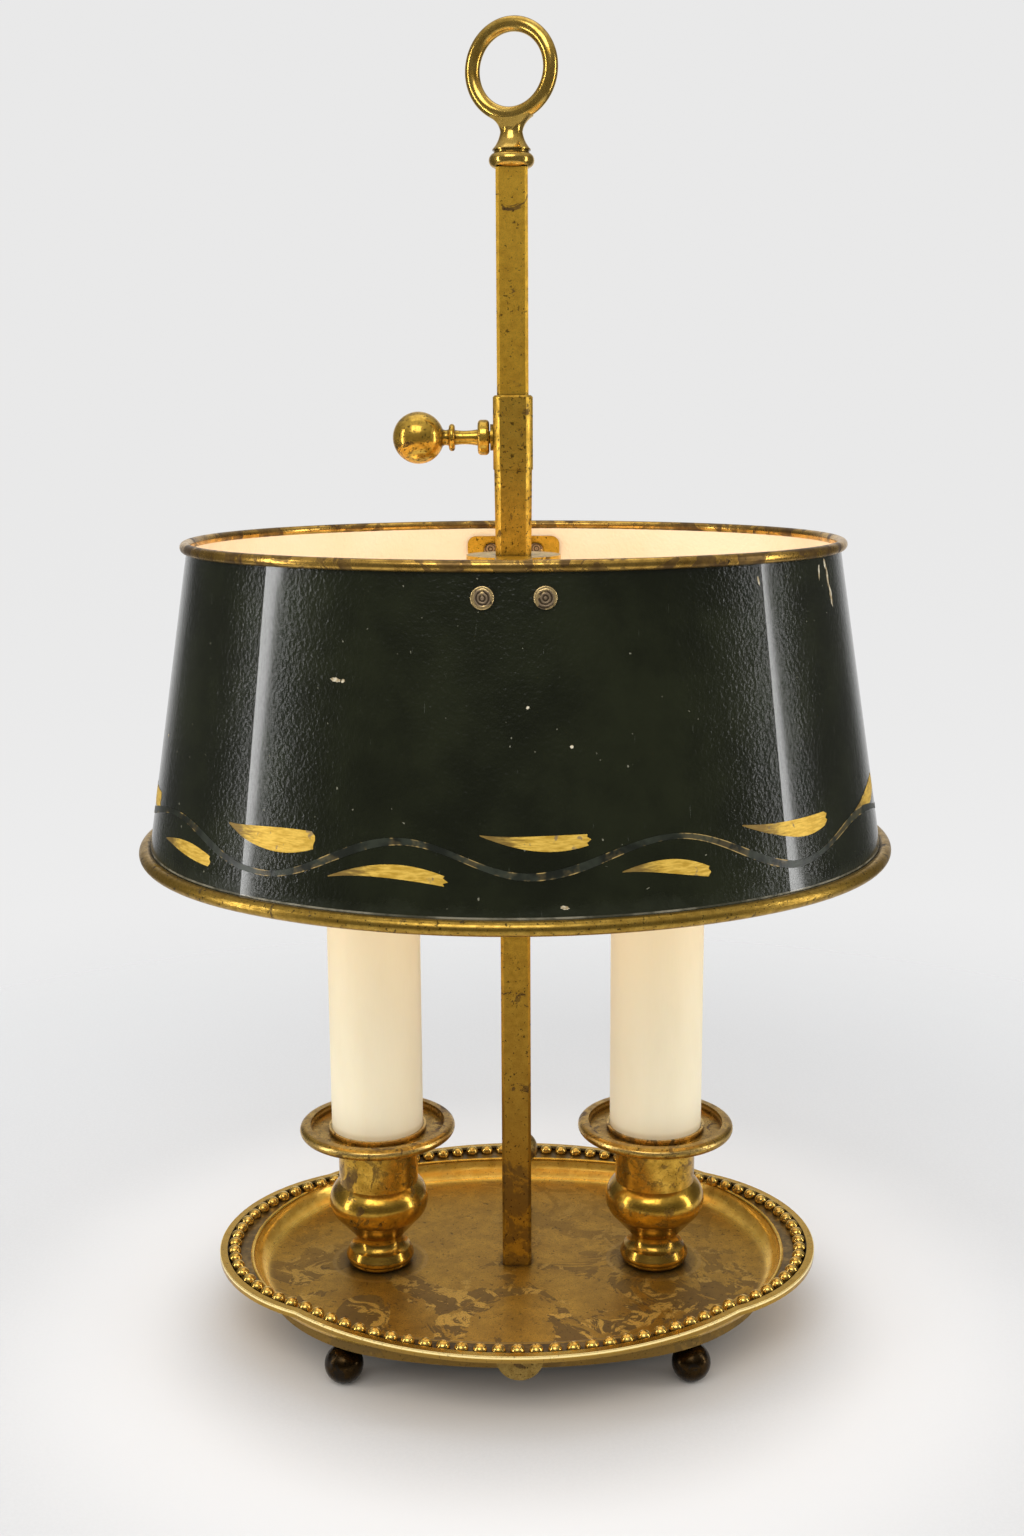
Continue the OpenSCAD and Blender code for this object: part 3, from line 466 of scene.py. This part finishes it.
# Grime and painted shade in grooves and joints.
grime_and_shade_mask = effect(tree, corner_grime_and_shade, Reach=0.0035, Strength=1.0)["GrimeAndShade"]
colour = blend(tree, share_of(tree, grime_and_shade_mask, 0.85), colour, (0.045, 0.028, 0.011))
tree.links.new(colour, shader.inputs["Base Color"])
dull = maths(tree, "MAXIMUM", maths(tree, "MAXIMUM", band, ridge),
             maths(tree, "MULTIPLY", patchy, between(tree, height, FLOOR_TOP, 17.6 * mm, 0.7, 0.0)))
cove = zone(tree, where, COVE_LOW, COVE_HIGH, 0.8 * mm)
pale_zones = maths(tree, "MULTIPLY", between(tree, edge, 0.0, 1.0, 1.0, 0.3),
                   between(tree, cove, 0.0, 1.0, 1.0, 0.68))
metal = maths(tree, "MULTIPLY", between(tree, dull, 0.0, 1.0, 0.92, 0.74), pale_zones)
tree.links.new(metal, shader.inputs["Metallic"])
worn = maths(tree, "ADD", between(tree, height, FLOOR_TOP, COVE_LOW, 0.44, 0.18),
             maths(tree, "ADD", share_of(tree, dull, 0.14), share_of(tree, under, 0.2)))
tree.links.new(worn, shader.inputs["Roughness"])
relief_on(tree, shader, maths(tree, "ADD", age["Height"], share_of(tree, fine_age["Height"], 0.5)))
give(tray_brass, "tray")

# %% [markdown]
# The ball feet get a bronze that is almost black. The rivets are brown, with a little gold where they
# were rubbed, and their heads keep the rings of the tool that set them. Four rivets lie at mirrored
# places, so folding the coordinates with an absolute value lets one ring pattern serve them all.

# %% Dark bronze
foot_bronze = aged_brass("foot bronze", (0.055, 0.030, 0.008), (0.024, 0.014, 0.005),
                         (0.009, 0.006, 0.003), (140, 0.4), (700, 0.3), (0.2, 0.3), shift=(0.3, 0.5, 0.1))
give(foot_bronze, "ball_feet")
rivet_bronze, tree, shader = finish("rivet bronze", Metallic=0.85)
where = here_on(tree)
RIVET_X, RIVET_Z = 8.8 * mm, 263.5 * mm
RINGS = 6200.0  # radians of ring pattern in a metre, which makes rings about 1 mm apart
folded = vectors(tree, "ABSOLUTE", where)
off_axis = vectors(tree, "SUBTRACT", folded, (RIVET_X, 0, RIVET_Z))
out = length_of(tree, vectors(tree, "MULTIPLY", off_axis, (1, 0, 1)))
wobble = maths(tree, "MULTIPLY", maths(tree, "SUBTRACT", noise(tree, where, 420, 3), 0.5), 0.9 * mm)
turned = maths(tree, "SINE", maths(tree, "MULTIPLY", maths(tree, "ADD", out, wobble), RINGS))
head = blend(tree, between(tree, turned, -0.9, 0.9), (0.09, 0.062, 0.036), (0.36, 0.26, 0.16))
rim = between(tree, out, 1.9 * mm, 3.0 * mm, 0.0, 0.22)
rubbed = between(tree, maths(tree, "ADD", noise(tree, where, 260, 3), rim), 0.6, 0.66)
head = blend(tree, rubbed, head, (0.78, 0.56, 0.25))
tree.links.new(head, shader.inputs["Base Color"])
tree.links.new(between(tree, rubbed, 0.0, 1.0, 0.4, 0.26), shader.inputs["Roughness"])
relief_on(tree, shader, turned, 0.00003)
give(rivet_bronze, "bracket_rivets")

# %% [markdown]
# ## The painted shade
#
# The shade is tinplate under many coats of green so dark that it reads black, with a gloss that has
# gone slightly leathery. Inside it is cream, lit by the bulbs. One shell carries both paints, and the
# way each face points tells them apart: outside faces point away from the axis. The shell's own
# Emission Color also paints a glow on the cream, brighter towards the top, so that it shows in any
# scene's lights. A pale line of painted highlight runs along the foot of the outer wall.

# %% Shade paint, green outside and cream inside
shade_paint, tree, shader = finish("shade paint", IOR=1.5, Coat_Roughness=0.1,
                                   Emission_Strength=0.8, Specular_IOR_Level=0.32)
where = here_on(tree)
faces = add(tree, "ShaderNodeNewGeometry").outputs["Normal"]
from_axis = vectors(tree, "MULTIPLY", where, (1, 1, 0))
outward = add(tree, "ShaderNodeVectorMath", {0: faces, 1: from_axis},
              operation="DOT_PRODUCT").outputs["Value"]
outside = between(tree, outward, -0.01, 0.01)
height = height_of(tree, where)
mottle = noise(tree, where, 28, 5, 0.6)
green = blend(tree, between(tree, mottle, 0.35, 0.65), (0.0058, 0.0070, 0.0018), (0.0120, 0.0142, 0.0046))
haze_edge = maths(tree, "ADD", height, maths(tree, "MULTIPLY", noise(tree, where, 60, 4, 0.7), 0.012))
haze = between(tree, haze_edge, 0.1795, 0.1855, 1.0, 0.0)
green = blend(tree, share_of(tree, haze, 0.25), green, (0.035, 0.042, 0.018))
lines = effect(tree, scratches, Scale=1.0, Share=0.42)["Lines"]
green = blend(tree, share_of(tree, lines, 0.3), green, (0.085, 0.095, 0.065))
speck = between(tree, noise(tree, where, 640, 1, 0.4), 0.79, 0.81)
green = blend(tree, share_of(tree, speck, 0.6), green, (0.26, 0.25, 0.18))
# Painted highlight: a pale line along the wall just above the lower bead.
JOINT_HIGHLIGHT_LOW, JOINT_HIGHLIGHT_HIGH, JOINT_HIGHLIGHT_SOFT = 174.625 * mm, 175.175 * mm, 0.075 * mm
joint_highlight = zone(tree, where, JOINT_HIGHLIGHT_LOW, JOINT_HIGHLIGHT_HIGH, JOINT_HIGHLIGHT_SOFT)
joint_highlight = maths(tree, "MULTIPLY", joint_highlight, between(tree, noise(tree, where, 80, 3), 0.4, 0.62, 0.12, 0.7))
green = blend(tree, joint_highlight, green, (0.36, 0.33, 0.24))
cream = blend(tree, between(tree, noise(tree, where, 22, 4), 0.3, 0.7), (0.84, 0.68, 0.45),
              (0.88, 0.74, 0.54))
tree.links.new(blend(tree, outside, cream, green), shader.inputs["Base Color"])
# Painted glow: the cream inside emits light, brighter towards the top.
glow = blend(tree, between(tree, height, 0.18, 0.27), (0.20, 0.12, 0.055), (0.25, 0.16, 0.09))
tree.links.new(blend(tree, outside, glow, (0, 0, 0)), shader.inputs["Emission Color"])
leather = maths(tree, "ADD", maths(tree, "MULTIPLY", noise(tree, where, 820, 1.5, 0.55), 1.5),
                maths(tree, "MULTIPLY", noise(tree, where, 95, 2), 1.2))
leather = maths(tree, "SUBTRACT", leather, share_of(tree, lines, 0.5))
rough = maths(tree, "ADD", between(tree, outside, 0.0, 1.0, 0.6, 0.25), share_of(tree, haze, 0.14))
tree.links.new(rough, shader.inputs["Roughness"])
tree.links.new(between(tree, outside, 0.0, 1.0, 0.0, 0.75), shader.inputs["Coat Weight"])
relief_on(tree, shader, leather, 0.00015)
give(shade_paint, "shade_shell")

# %% [markdown]
# ## Laying paint strokes on the shade
#
# The gilt leaves, the wavy line and the chips are thin patches that lie on the tin. It is easiest
# to draw each on flat paper first, and then to roll the paper round the shade. The shade's outline
# is an oval of four circular arcs, and its wall leans, so a point on it is found from the direction
# that it faces, in degrees from the front, and its height.

# %% Where a point of the paper lands on the shade
SHADE_TOP, LEAN = 272.3, 0.160321  # the shade's upper edge in mm, and how far its wall leans out per mm
WIDE_ARC, WIDE_CENTRE = 120, 27  # front and rear arcs: radius at the top, and centre beyond the middle
END_ARC, END_CENTRE = 86.25, 20.25  # the same for the arcs at the two ends
ARCS_MEET = 0.6  # the sine of the direction where one arc hands over to the next


def on_shade(angle, height, lift=0.0):
    """A point on the shade's outer face, in metres.

    The angle is the direction that the point faces, in degrees. The height and the lift off the
    face are in mm.
    """
    lean = (SHADE_TOP - height) * LEAN + lift
    x, y = math.sin(math.radians(angle)), -math.cos(math.radians(angle))
    if abs(x) < ARCS_MEET:
        point = (x * (WIDE_ARC + lean), y * (WIDE_ARC + lean) - math.copysign(WIDE_CENTRE, y))
    else:
        point = (x * (END_ARC + lean) + math.copysign(END_CENTRE, x), y * (END_ARC + lean))
    return Vector((point[0], point[1], height)) * mm


print("front", on_shade(0, 190), "side", on_shade(90, 190))

# %% A helper that turns a bmesh into a riding piece
def keep(name, mesh_work, material, body, smooth=40):
    """Makes an object of a bmesh, smooth but for edges sharper than smooth degrees, and lets it ride."""
    mesh = bpy.data.meshes.new(name)
    mesh_work.to_mesh(mesh)
    mesh_work.free()
    mesh.shade_smooth()
    mesh.set_sharp_from_angle(angle=math.radians(smooth))
    mesh.materials.append(material)
    piece = bpy.data.objects.new(name, mesh)
    bpy.context.scene.collection.objects.link(piece)
    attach(piece, body)
    print(name, len(mesh.polygons), "faces")
    return piece


# %% [markdown]
# A leaf is one press of a loaded brush: a thin tail, a full belly, and a blunt, nicked end where the
# brush was lifted. A grid of squares is bent to that outline, rolled on to the shade, and given a
# hair of thickness. Its UV map runs from tail to end, and the gilding's tarnish follows it.

# %% Gilding for the leaves
leaf_gilt, tree, shader = finish("leaf gilding")
along = add(tree, "ShaderNodeSeparateXYZ", {0: add(tree, "ShaderNodeUVMap").outputs[0]}).outputs["X"]
where = here_on(tree)
streaks = noise(tree, stretched(tree, (1, 1, 6)), 260, 4, 0.65)
gilt = blend(tree, between(tree, streaks, 0.35, 0.65), (0.58, 0.34, 0.03), (0.84, 0.55, 0.09))
tail_wear = maths(tree, "ADD", along, maths(tree, "MULTIPLY", maths(tree, "SUBTRACT", streaks, 0.5), 0.5))
gilt = blend(tree, between(tree, tail_wear, 0.16, 0.46, 0.8, 0.0), gilt, (0.13, 0.078, 0.022))
spots = between(tree, noise(tree, where, 190, 3, 0.6), 0.62, 0.67)
gilt = blend(tree, share_of(tree, spots, 0.75), gilt, (0.13, 0.095, 0.06))
tree.links.new(gilt, shader.inputs["Base Color"])
tree.links.new(between(tree, streaks, 0.3, 0.7, 0.42, 0.58), shader.inputs["Roughness"])
tree.links.new(between(tree, spots, 0.0, 1.0, 0.4, 0.1), shader.inputs["Metallic"])
relief_on(tree, shader, streaks, 0.00006)
print(leaf_gilt.name, "takes", len(tree.nodes), "nodes")

# %% Eight leaves, and the same eight on the far side
# Each leaf: its tail's direction and height, its end's, half its width, and how far its middle rises
leaves = ((-86.0, 195.8, -69.7, 193.6, 2.9, -1.8), (-62.5, 183.8, -45.2, 182.2, 2.2, 0.9),
          (-40.9, 195.1, -25.7, 193.9, 3.5, -1.7), (-23.6, 184.2, -8.4, 184.9, 2.0, 2.5),
          (-4.3, 197.9, 9.1, 196.4, 2.2, -1.5), (13.1, 186.9, 24.7, 184.7, 2.1, 1.7),
          (29.9, 196.5, 48.3, 193.9, 2.7, -2.2), (58.9, 191.9, 77.0, 196.8, 3.1, -0.8))
LEAF_THICK, LEAF_LIFT = 0.09 * mm, 0.03  # the lift is in mm, as on_shade takes it


def brush_leaf(work, tail_way, tail_height, end_way, end_height, half_width, rise, turn):
    made = bmesh.ops.create_grid(work, x_segments=22, y_segments=4, size=1, calc_uvs=True)
    for vertex in made["verts"]:
        u, v = (vertex.co.x + 1) / 2, vertex.co.y
        if u > 0.99:
            u += 0.018 * math.sin(7 * v + tail_way) - 0.025 * v * v
        width = half_width * (0.05 + 0.95 * math.sin(math.pi * min(1.0, 0.78 * u ** 1.15)) ** 0.9)
        height = tail_height + (end_height - tail_height) * u + rise * 4 * u * (1 - u) + v * width
        vertex.co = on_shade(turn + tail_way + (end_way - tail_way) * u, height, LEAF_LIFT)
    faces = list({face for vertex in made["verts"] for face in vertex.link_faces})
    bmesh.ops.solidify(work, geom=faces, thickness=-LEAF_THICK)


work = bmesh.new()
work.loops.layers.uv.verify()
for turn in (0, 180):
    for leaf in leaves:
        brush_leaf(work, *leaf, turn)
keep("gilt_leaves", work, leaf_gilt, "shade", 60)

# %% [markdown]
# The wavy line runs once round the shade and joins itself. Most of its gold has worn off, which
# leaves a grey-green track with a little gold along its edges. It is a long grid whose middle rises
# and falls with a cosine between the listed crests and troughs.

# %% The wavy line's worn paint
wave_paint, tree, shader = finish("worn wave paint", Roughness=0.34)
across = add(tree, "ShaderNodeSeparateXYZ", {0: add(tree, "ShaderNodeUVMap").outputs[0]}).outputs["Y"]
where = here_on(tree)
edge = between(tree, maths(tree, "ABSOLUTE", maths(tree, "SUBTRACT", across, 0.5)), 0.34, 0.44)
traces = between(tree, noise(tree, where, 75, 4, 0.7), 0.5, 0.58)
track = blend(tree, between(tree, noise(tree, where, 140, 3), 0.4, 0.62), (0.009, 0.011, 0.006),
              (0.026, 0.031, 0.019))
gold_share = maths(tree, "MULTIPLY", maths(tree, "ADD", share_of(tree, edge, 0.8), 0.1), traces)
tree.links.new(blend(tree, gold_share, track, (0.42, 0.28, 0.085)), shader.inputs["Base Color"])
relief_on(tree, shader, noise(tree, where, 700, 3), 0.00008)
print(wave_paint.name, "takes", len(tree.nodes), "nodes")

# %% The wavy line
# Each crest or trough of the front half: its direction in degrees and its height in mm
crests = ((-90, 184.8), (-57.8, 192.9), (-33.5, 182.6), (-14, 195.6), (1.9, 186.4), (20, 195.8),
          (39.5, 182.6), (62, 191.4), (90, 184.8))
MM_PER_DEGREE = 2.2  # how far one degree reaches along the shade


def wave_height(angle):
    """The height of the line's middle, the same on the rear half as on the front."""
    angle = (angle + 90) % 180 - 90
    for (a, low), (b, high) in zip(crests, crests[1:]):
        if a <= angle <= b:
            return low + (high - low) * (1 - math.cos(math.pi * (angle - a) / (b - a))) / 2


work = bmesh.new()
work.loops.layers.uv.verify()
made = bmesh.ops.create_grid(work, x_segments=720, y_segments=2, size=1, calc_uvs=True)
for vertex in made["verts"]:
    angle = vertex.co.x * 180
    slope = (wave_height(angle + 0.5) - wave_height(angle - 0.5)) / MM_PER_DEGREE
    brush = (1.0 + 0.18 * math.sin(angle * 0.23)) * math.hypot(1, slope)
    vertex.co = on_shade(angle, wave_height(angle) + brush * vertex.co.y, 0.025)
bmesh.ops.remove_doubles(work, verts=work.verts, dist=0.00001)
bmesh.ops.solidify(work, geom=list(work.faces), thickness=-0.06 * mm)
keep("wave_line", work, wave_paint, "shade", 60)

# %% [markdown]
# Where the paint has chipped, the pale undercoat or the bright tin shows. A chip is a small disc
# with a ragged edge, rolled on to the shade as the leaves were.

# %% The bared undercoat
chip_primer, tree, shader = finish("bared undercoat", Roughness=0.62)
where = here_on(tree)
bare = blend(tree, between(tree, noise(tree, where, 700, 4), 0.4, 0.6), (0.30, 0.22, 0.105),
             (0.62, 0.56, 0.42))
tree.links.new(bare, shader.inputs["Base Color"])
relief_on(tree, shader, noise(tree, where, 1500, 3), 0.0001)
print(chip_primer.name, "takes", len(tree.nodes), "nodes")

# %% The chips
# Each chip: direction, height, half its width and half its height in mm, and its tilt in degrees
chips = ((-24.0, 239.7, 1.7, 0.55, -12), (-22.9, 239.5, 0.6, 0.5, 0), (1.7, 233.3, 0.45, 0.4, 0),
         (7.2, 222.3, 0.55, 0.4, 20), (5.9, 177.7, 1.3, 0.45, -15), (59.6, 268.4, 0.8, 1.9, 8),
         (60.2, 264.4, 0.75, 3.2, 6), (60.9, 258.6, 1.0, 3.0, 10), (56.2, 266.2, 0.6, 2.0, -14),
         (36.1, 265.8, 0.4, 1.1, 12),
         (-70, 214.0, 0.7, 0.4, 10), (131, 249.0, 1.2, 0.5, 15), (168, 217.0, 0.9, 0.5, -20),
         (-142, 201.0, 1.4, 0.5, 8), (-117, 262.0, 0.6, 1.6, 5), (204, 179.0, 1.6, 0.5, 0))
WIDE_MEAN, END_MEAN = 132, 98  # the wall's radii at half its height, in mm
work = bmesh.new()
for way, height, wide, tall, tilt in chips:
    made = bmesh.ops.create_circle(work, cap_ends=True, segments=14, radius=1)
    for count, vertex in enumerate(made["verts"]):
        ragged = 1 + 0.22 * math.sin(3.1 * count + way) + 0.16 * math.sin(5.3 * count + height)
        x, y = vertex.co.x * wide * ragged, vertex.co.y * tall * ragged
        c, s = math.cos(math.radians(tilt)), math.sin(math.radians(tilt))
        radius = WIDE_MEAN if abs(math.sin(math.radians(way))) < ARCS_MEET else END_MEAN
        vertex.co = on_shade(way + math.degrees((c * x - s * y) / radius), height + s * x + c * y, 0.02)
    face = made["verts"][0].link_faces[0]
    if face.normal.dot(face.calc_center_median()) < 0:
        face.normal_flip()
    bmesh.ops.solidify(work, geom=[face], thickness=-0.05 * mm)
keep("paint_chips", work, chip_primer, "shade", 60)

# %% [markdown]
# ## Candle sleeves, bulbs and the plainer pieces
#
# The sleeves are ivory card with a satin surface. They are painted warmer and brighter towards the
# top, as the bulb's light would make them, and darker at the foot as a painted contact shadow where
# each sleeve stands in its pan. The bulbs are opal glass that glows. Under the tray everything is
# plain: black enamel, black plastic, plated screws and covered wire.

# %% Ivory sleeves
ivory, tree, shader = finish("ivory sleeve", IOR=1.46, Subsurface_Weight=0.12, Subsurface_Scale=0.004)
shader.inputs["Subsurface Radius"].default_value = (1.0, 0.6, 0.3)
where = here_on(tree)
height = height_of(tree, where)
# Painted light: warmer and brighter towards the top.
card = blend(tree, between(tree, height, 0.09, 0.172), (0.86, 0.76, 0.545), (0.93, 0.77, 0.49))
clouds = noise(tree, stretched(tree, (1, 1, 0.3)), 60, 4)
card = blend(tree, between(tree, clouds, 0.4, 0.7, 0.0, 0.16), card, (0.66, 0.54, 0.34))
# Painted contact shadow at the sleeve's foot.
card = blend(tree, between(tree, height, 0.0695, 0.0715, 0.35, 0.0), card, (0.42, 0.30, 0.13))
tree.links.new(card, shader.inputs["Base Color"])
tree.links.new(between(tree, noise(tree, where, 90, 3), 0.3, 0.7, 0.5, 0.6), shader.inputs["Roughness"])
relief_on(tree, shader, noise(tree, stretched(tree, (1, 1, 0.15)), 900, 2), 0.00003)
give(ivory, "left_candle_sleeve", "right_candle_sleeve")

# %% Opal bulbs, lit
lit_opal, tree, shader = finish("lit opal glass", Roughness=0.2, Emission_Strength=1.65)
height = height_of(tree, here_on(tree))
opal = blend(tree, between(tree, height, 0.178, 0.2), (0.80, 0.66, 0.44), (0.93, 0.86, 0.70))
tree.links.new(opal, shader.inputs["Base Color"])
tree.links.new(blend(tree, between(tree, height, 0.176, 0.205), (0.62, 0.40, 0.17), (1.0, 0.72, 0.49)),
               shader.inputs["Emission Color"])
relief_on(tree, shader, noise(tree, here_on(tree), 240, 2), 0.00004)
give(lit_opal, "left_bulb_glass", "right_bulb_glass")

# %% Enamel, plastic, plated steel, nickel and wire covering
def plain_finish(name, light, dark, scale, rough, metallic=0.0, deep=0.00005):
    """Two shades of one colour in fine clouds, for the pieces that are seldom seen."""
    material, tree, shader = finish(name, Metallic=metallic)
    where = here_on(tree)
    cloud = noise(tree, where, scale, 5, 0.65)
    colour = blend(tree, between(tree, cloud, 0.35, 0.65), dark, light)
    # Grime and painted shade in grooves and joints.
    grime_and_shade_mask = effect(tree, corner_grime_and_shade, Reach=0.002, Strength=0.8)["GrimeAndShade"]
    tree.links.new(blend(tree, share_of(tree, grime_and_shade_mask, 0.6), colour, [c * 0.35 for c in dark]),
                   shader.inputs["Base Color"])
    tree.links.new(between(tree, cloud, 0.3, 0.7, rough + 0.08, rough - 0.04), shader.inputs["Roughness"])
    relief_on(tree, shader, noise(tree, where, scale * 9, 3), deep)
    return material


give(plain_finish("black enamel", (0.022, 0.021, 0.019), (0.012, 0.012, 0.011), 130, 0.42), "base_cover")
give(plain_finish("black plastic", (0.028, 0.027, 0.026), (0.016, 0.016, 0.016), 300, 0.48),
     "left_socket", "right_socket", "switch_body", "cord_bushing")
give(plain_finish("plated steel", (0.62, 0.60, 0.56), (0.40, 0.37, 0.32), 260, 0.34, 1.0),
     "cover_screws", "stem_screw", "stem_washer", "cup_nuts", "left_nipple", "right_nipple", "pressure_pad")
give(plain_finish("nickel cap", (0.70, 0.68, 0.63), (0.50, 0.47, 0.41), 240, 0.26, 1.0),
     "left_bulb_cap", "right_bulb_cap")
give(plain_finish("wire covering", (0.055, 0.038, 0.024), (0.03, 0.021, 0.015), 500, 0.6, deep=0.0001),
     "left_lead", "right_lead")

# %% [markdown]
# ## The room
#
# The lamp stands on white paper in front of a pale wall. The floor is a wide disc that fades out
# before it would meet the wall, so that no line shows, and keeps the lamp's soft shadow. A paler ring
# of painted light lies on it round the lamp, a warm painted shadow tints it where it is closed in
# near the feet, and it is painted darker where the metal mirrors it.

# %% Paper floor
paper, tree, shader = finish("white paper", Roughness=0.9)
where = here_on(tree)
fibre = between(tree, noise(tree, where, 900, 3), 0.3, 0.7, 0.0, 1.0)
sheet = blend(tree, fibre, (0.60, 0.606, 0.614), (0.62, 0.626, 0.634))
distance = length_of(tree, where)
# Painted light: a paler ring on the paper round the lamp.
painted_light_ring = maths(tree, "MULTIPLY", between(tree, distance, 0.095, 0.135),
                 between(tree, distance, 0.13, 0.21, 1.0, 0.0))
sheet = blend(tree, painted_light_ring, sheet, (0.72, 0.725, 0.732))
# Painted shadow: a warm tint where the AO node finds the paper closed in near the feet.
shaded = add(tree, "ShaderNodeAmbientOcclusion", {"Distance": 0.06}, samples=6).outputs["AO"]
sheet = blend(tree, between(tree, shaded, 0.25, 0.9, 0.75, 0.0), sheet, (0.66, 0.60, 0.525))
# Painted reflection: the paper is darker where the metal mirrors it.
in_a_mirror = add(tree, "ShaderNodeLightPath").outputs["Is Glossy Ray"]
sheet = blend(tree, share_of(tree, in_a_mirror, 0.2), sheet, (0.1, 0.1, 0.1))
tree.links.new(sheet, shader.inputs["Base Color"])
tree.links.new(between(tree, distance, 0.22, 0.62, 1.0, 0.0), shader.inputs["Alpha"])
PAPER_RADIUS, BELOW_FEET = 0.9, 0.2 * mm
work = bmesh.new()
bmesh.ops.create_circle(work, cap_ends=True, segments=96, radius=PAPER_RADIUS)
bmesh.ops.translate(work, verts=work.verts, vec=(0, 0, -BELOW_FEET))
floor_mesh = bpy.data.meshes.new("paper_floor")
work.to_mesh(floor_mesh)
work.free()
floor_mesh.materials.append(paper)
floor_disc = bpy.data.objects.new("paper_floor", floor_mesh)
bpy.context.scene.collection.objects.link(floor_disc)
print("paper floor of radius", PAPER_RADIUS, "m")

# %% [markdown]
# The wall is the world's own colour where the camera looks. Paint, metal and glass mirror a dimmer
# room, which is bright only straight behind the lamp and overhead, and that gives the dark paint its
# depth. All other rays get an even white, which fills the shadows.

# %% The wall, as the world's colour
world = bpy.data.worlds.new("pale room")
bpy.context.scene.world = world
world.use_nodes = True
tree = world.node_tree
tree.nodes.clear()
way = add(tree, "ShaderNodeSeparateXYZ", {0: add(tree, "ShaderNodeTexCoord").outputs["Generated"]})
path = add(tree, "ShaderNodeLightPath")
wall_level = between(tree, way.outputs["Z"], -0.65, 0.0, 0.905, 0.815)
behind = between(tree, way.outputs["Y"], 0.72, 0.98, 0.06, 0.75)
above = between(tree, way.outputs["Z"], 0.25, 0.78)
mirrored = maths(tree, "MAXIMUM", behind, share_of(tree, above, 0.41))
shine = maths(tree, "MAXIMUM", path.outputs["Is Glossy Ray"], path.outputs["Is Transmission Ray"])
strength = add(tree, "ShaderNodeMix", {"Factor": shine, 2: 1.0, 3: mirrored}).outputs[0]
strength = add(tree, "ShaderNodeMix",
               {"Factor": path.outputs["Is Camera Ray"], 2: strength, 3: wall_level}).outputs[0]
backdrop = add(tree, "ShaderNodeBackground", {"Color": (1, 0.998, 0.998, 1), "Strength": strength})
tree.links.new(backdrop.outputs[0], add(tree, "ShaderNodeOutputWorld").inputs["Surface"])
print("world:", world.name)

# %% [markdown]
# Two tall strips stand right and left of the lamp, a little behind its front. The shade's paint
# mirrors them as the two soft upright streaks, and each turned cup as a pair of bright lines. A
# broad soft light above and in front fills the rest, and a weak one overhead lifts the top faces.

# %% Lights
def soft_light(name, spot, aim, size, watts):
    """A rectangular white light at spot, aimed at aim. Its size is width and height in metres."""
    lamp = bpy.data.lights.new(name, "AREA")
    lamp.shape = "RECTANGLE"
    lamp.size, lamp.size_y = size
    lamp.energy = watts
    holder = bpy.data.objects.new(name, lamp)
    holder.location = spot
    holder.rotation_euler = (Vector(aim) - Vector(spot)).to_track_quat("-Z", "Y").to_euler()
    bpy.context.scene.collection.objects.link(holder)


soft_light("left strip", (-0.95, -0.25, 0.30), (0, 0, 0.22), (0.075, 0.95), 2.5)
soft_light("right strip", (0.95, -0.16, 0.30), (0, 0, 0.22), (0.08, 0.95), 2.2)
soft_light("top front", (-0.20, -0.95, 1.15), (0, 0, 0.15), (0.9, 0.6), 5.5)
soft_light("overhead", (0, 0.25, 1.4), (0, 0, 0.1), (1.0, 0.8), 1.8)

# %% [markdown]
# ## The camera
#
# The lens, height and tilt repeat the photograph's: a little above the shade, looking down eleven
# degrees, turned a third of a degree about its own line of sight.

# %% Camera and view
EYE = (0, -0.58504, 0.3135)
DOWN, ROLL = 11.181, -0.29  # degrees
lens = bpy.data.cameras.new("view")
lens.lens, lens.sensor_width = 41.32, 36
lens.shift_x, lens.shift_y = -0.0017, -0.0029
lens.clip_start = 0.01
camera = bpy.data.objects.new("view", lens)
camera.matrix_world = (Matrix.Translation(EYE)
                       @ Matrix.Rotation(math.radians(90 - DOWN), 4, "X")
                       @ Matrix.Rotation(math.radians(ROLL), 4, "Z"))
bpy.context.scene.collection.objects.link(camera)
bpy.context.scene.camera = camera
bpy.context.scene.view_settings.view_transform = "Standard"
print("lens", lens.lens, "mm, looking down", DOWN, "degrees")
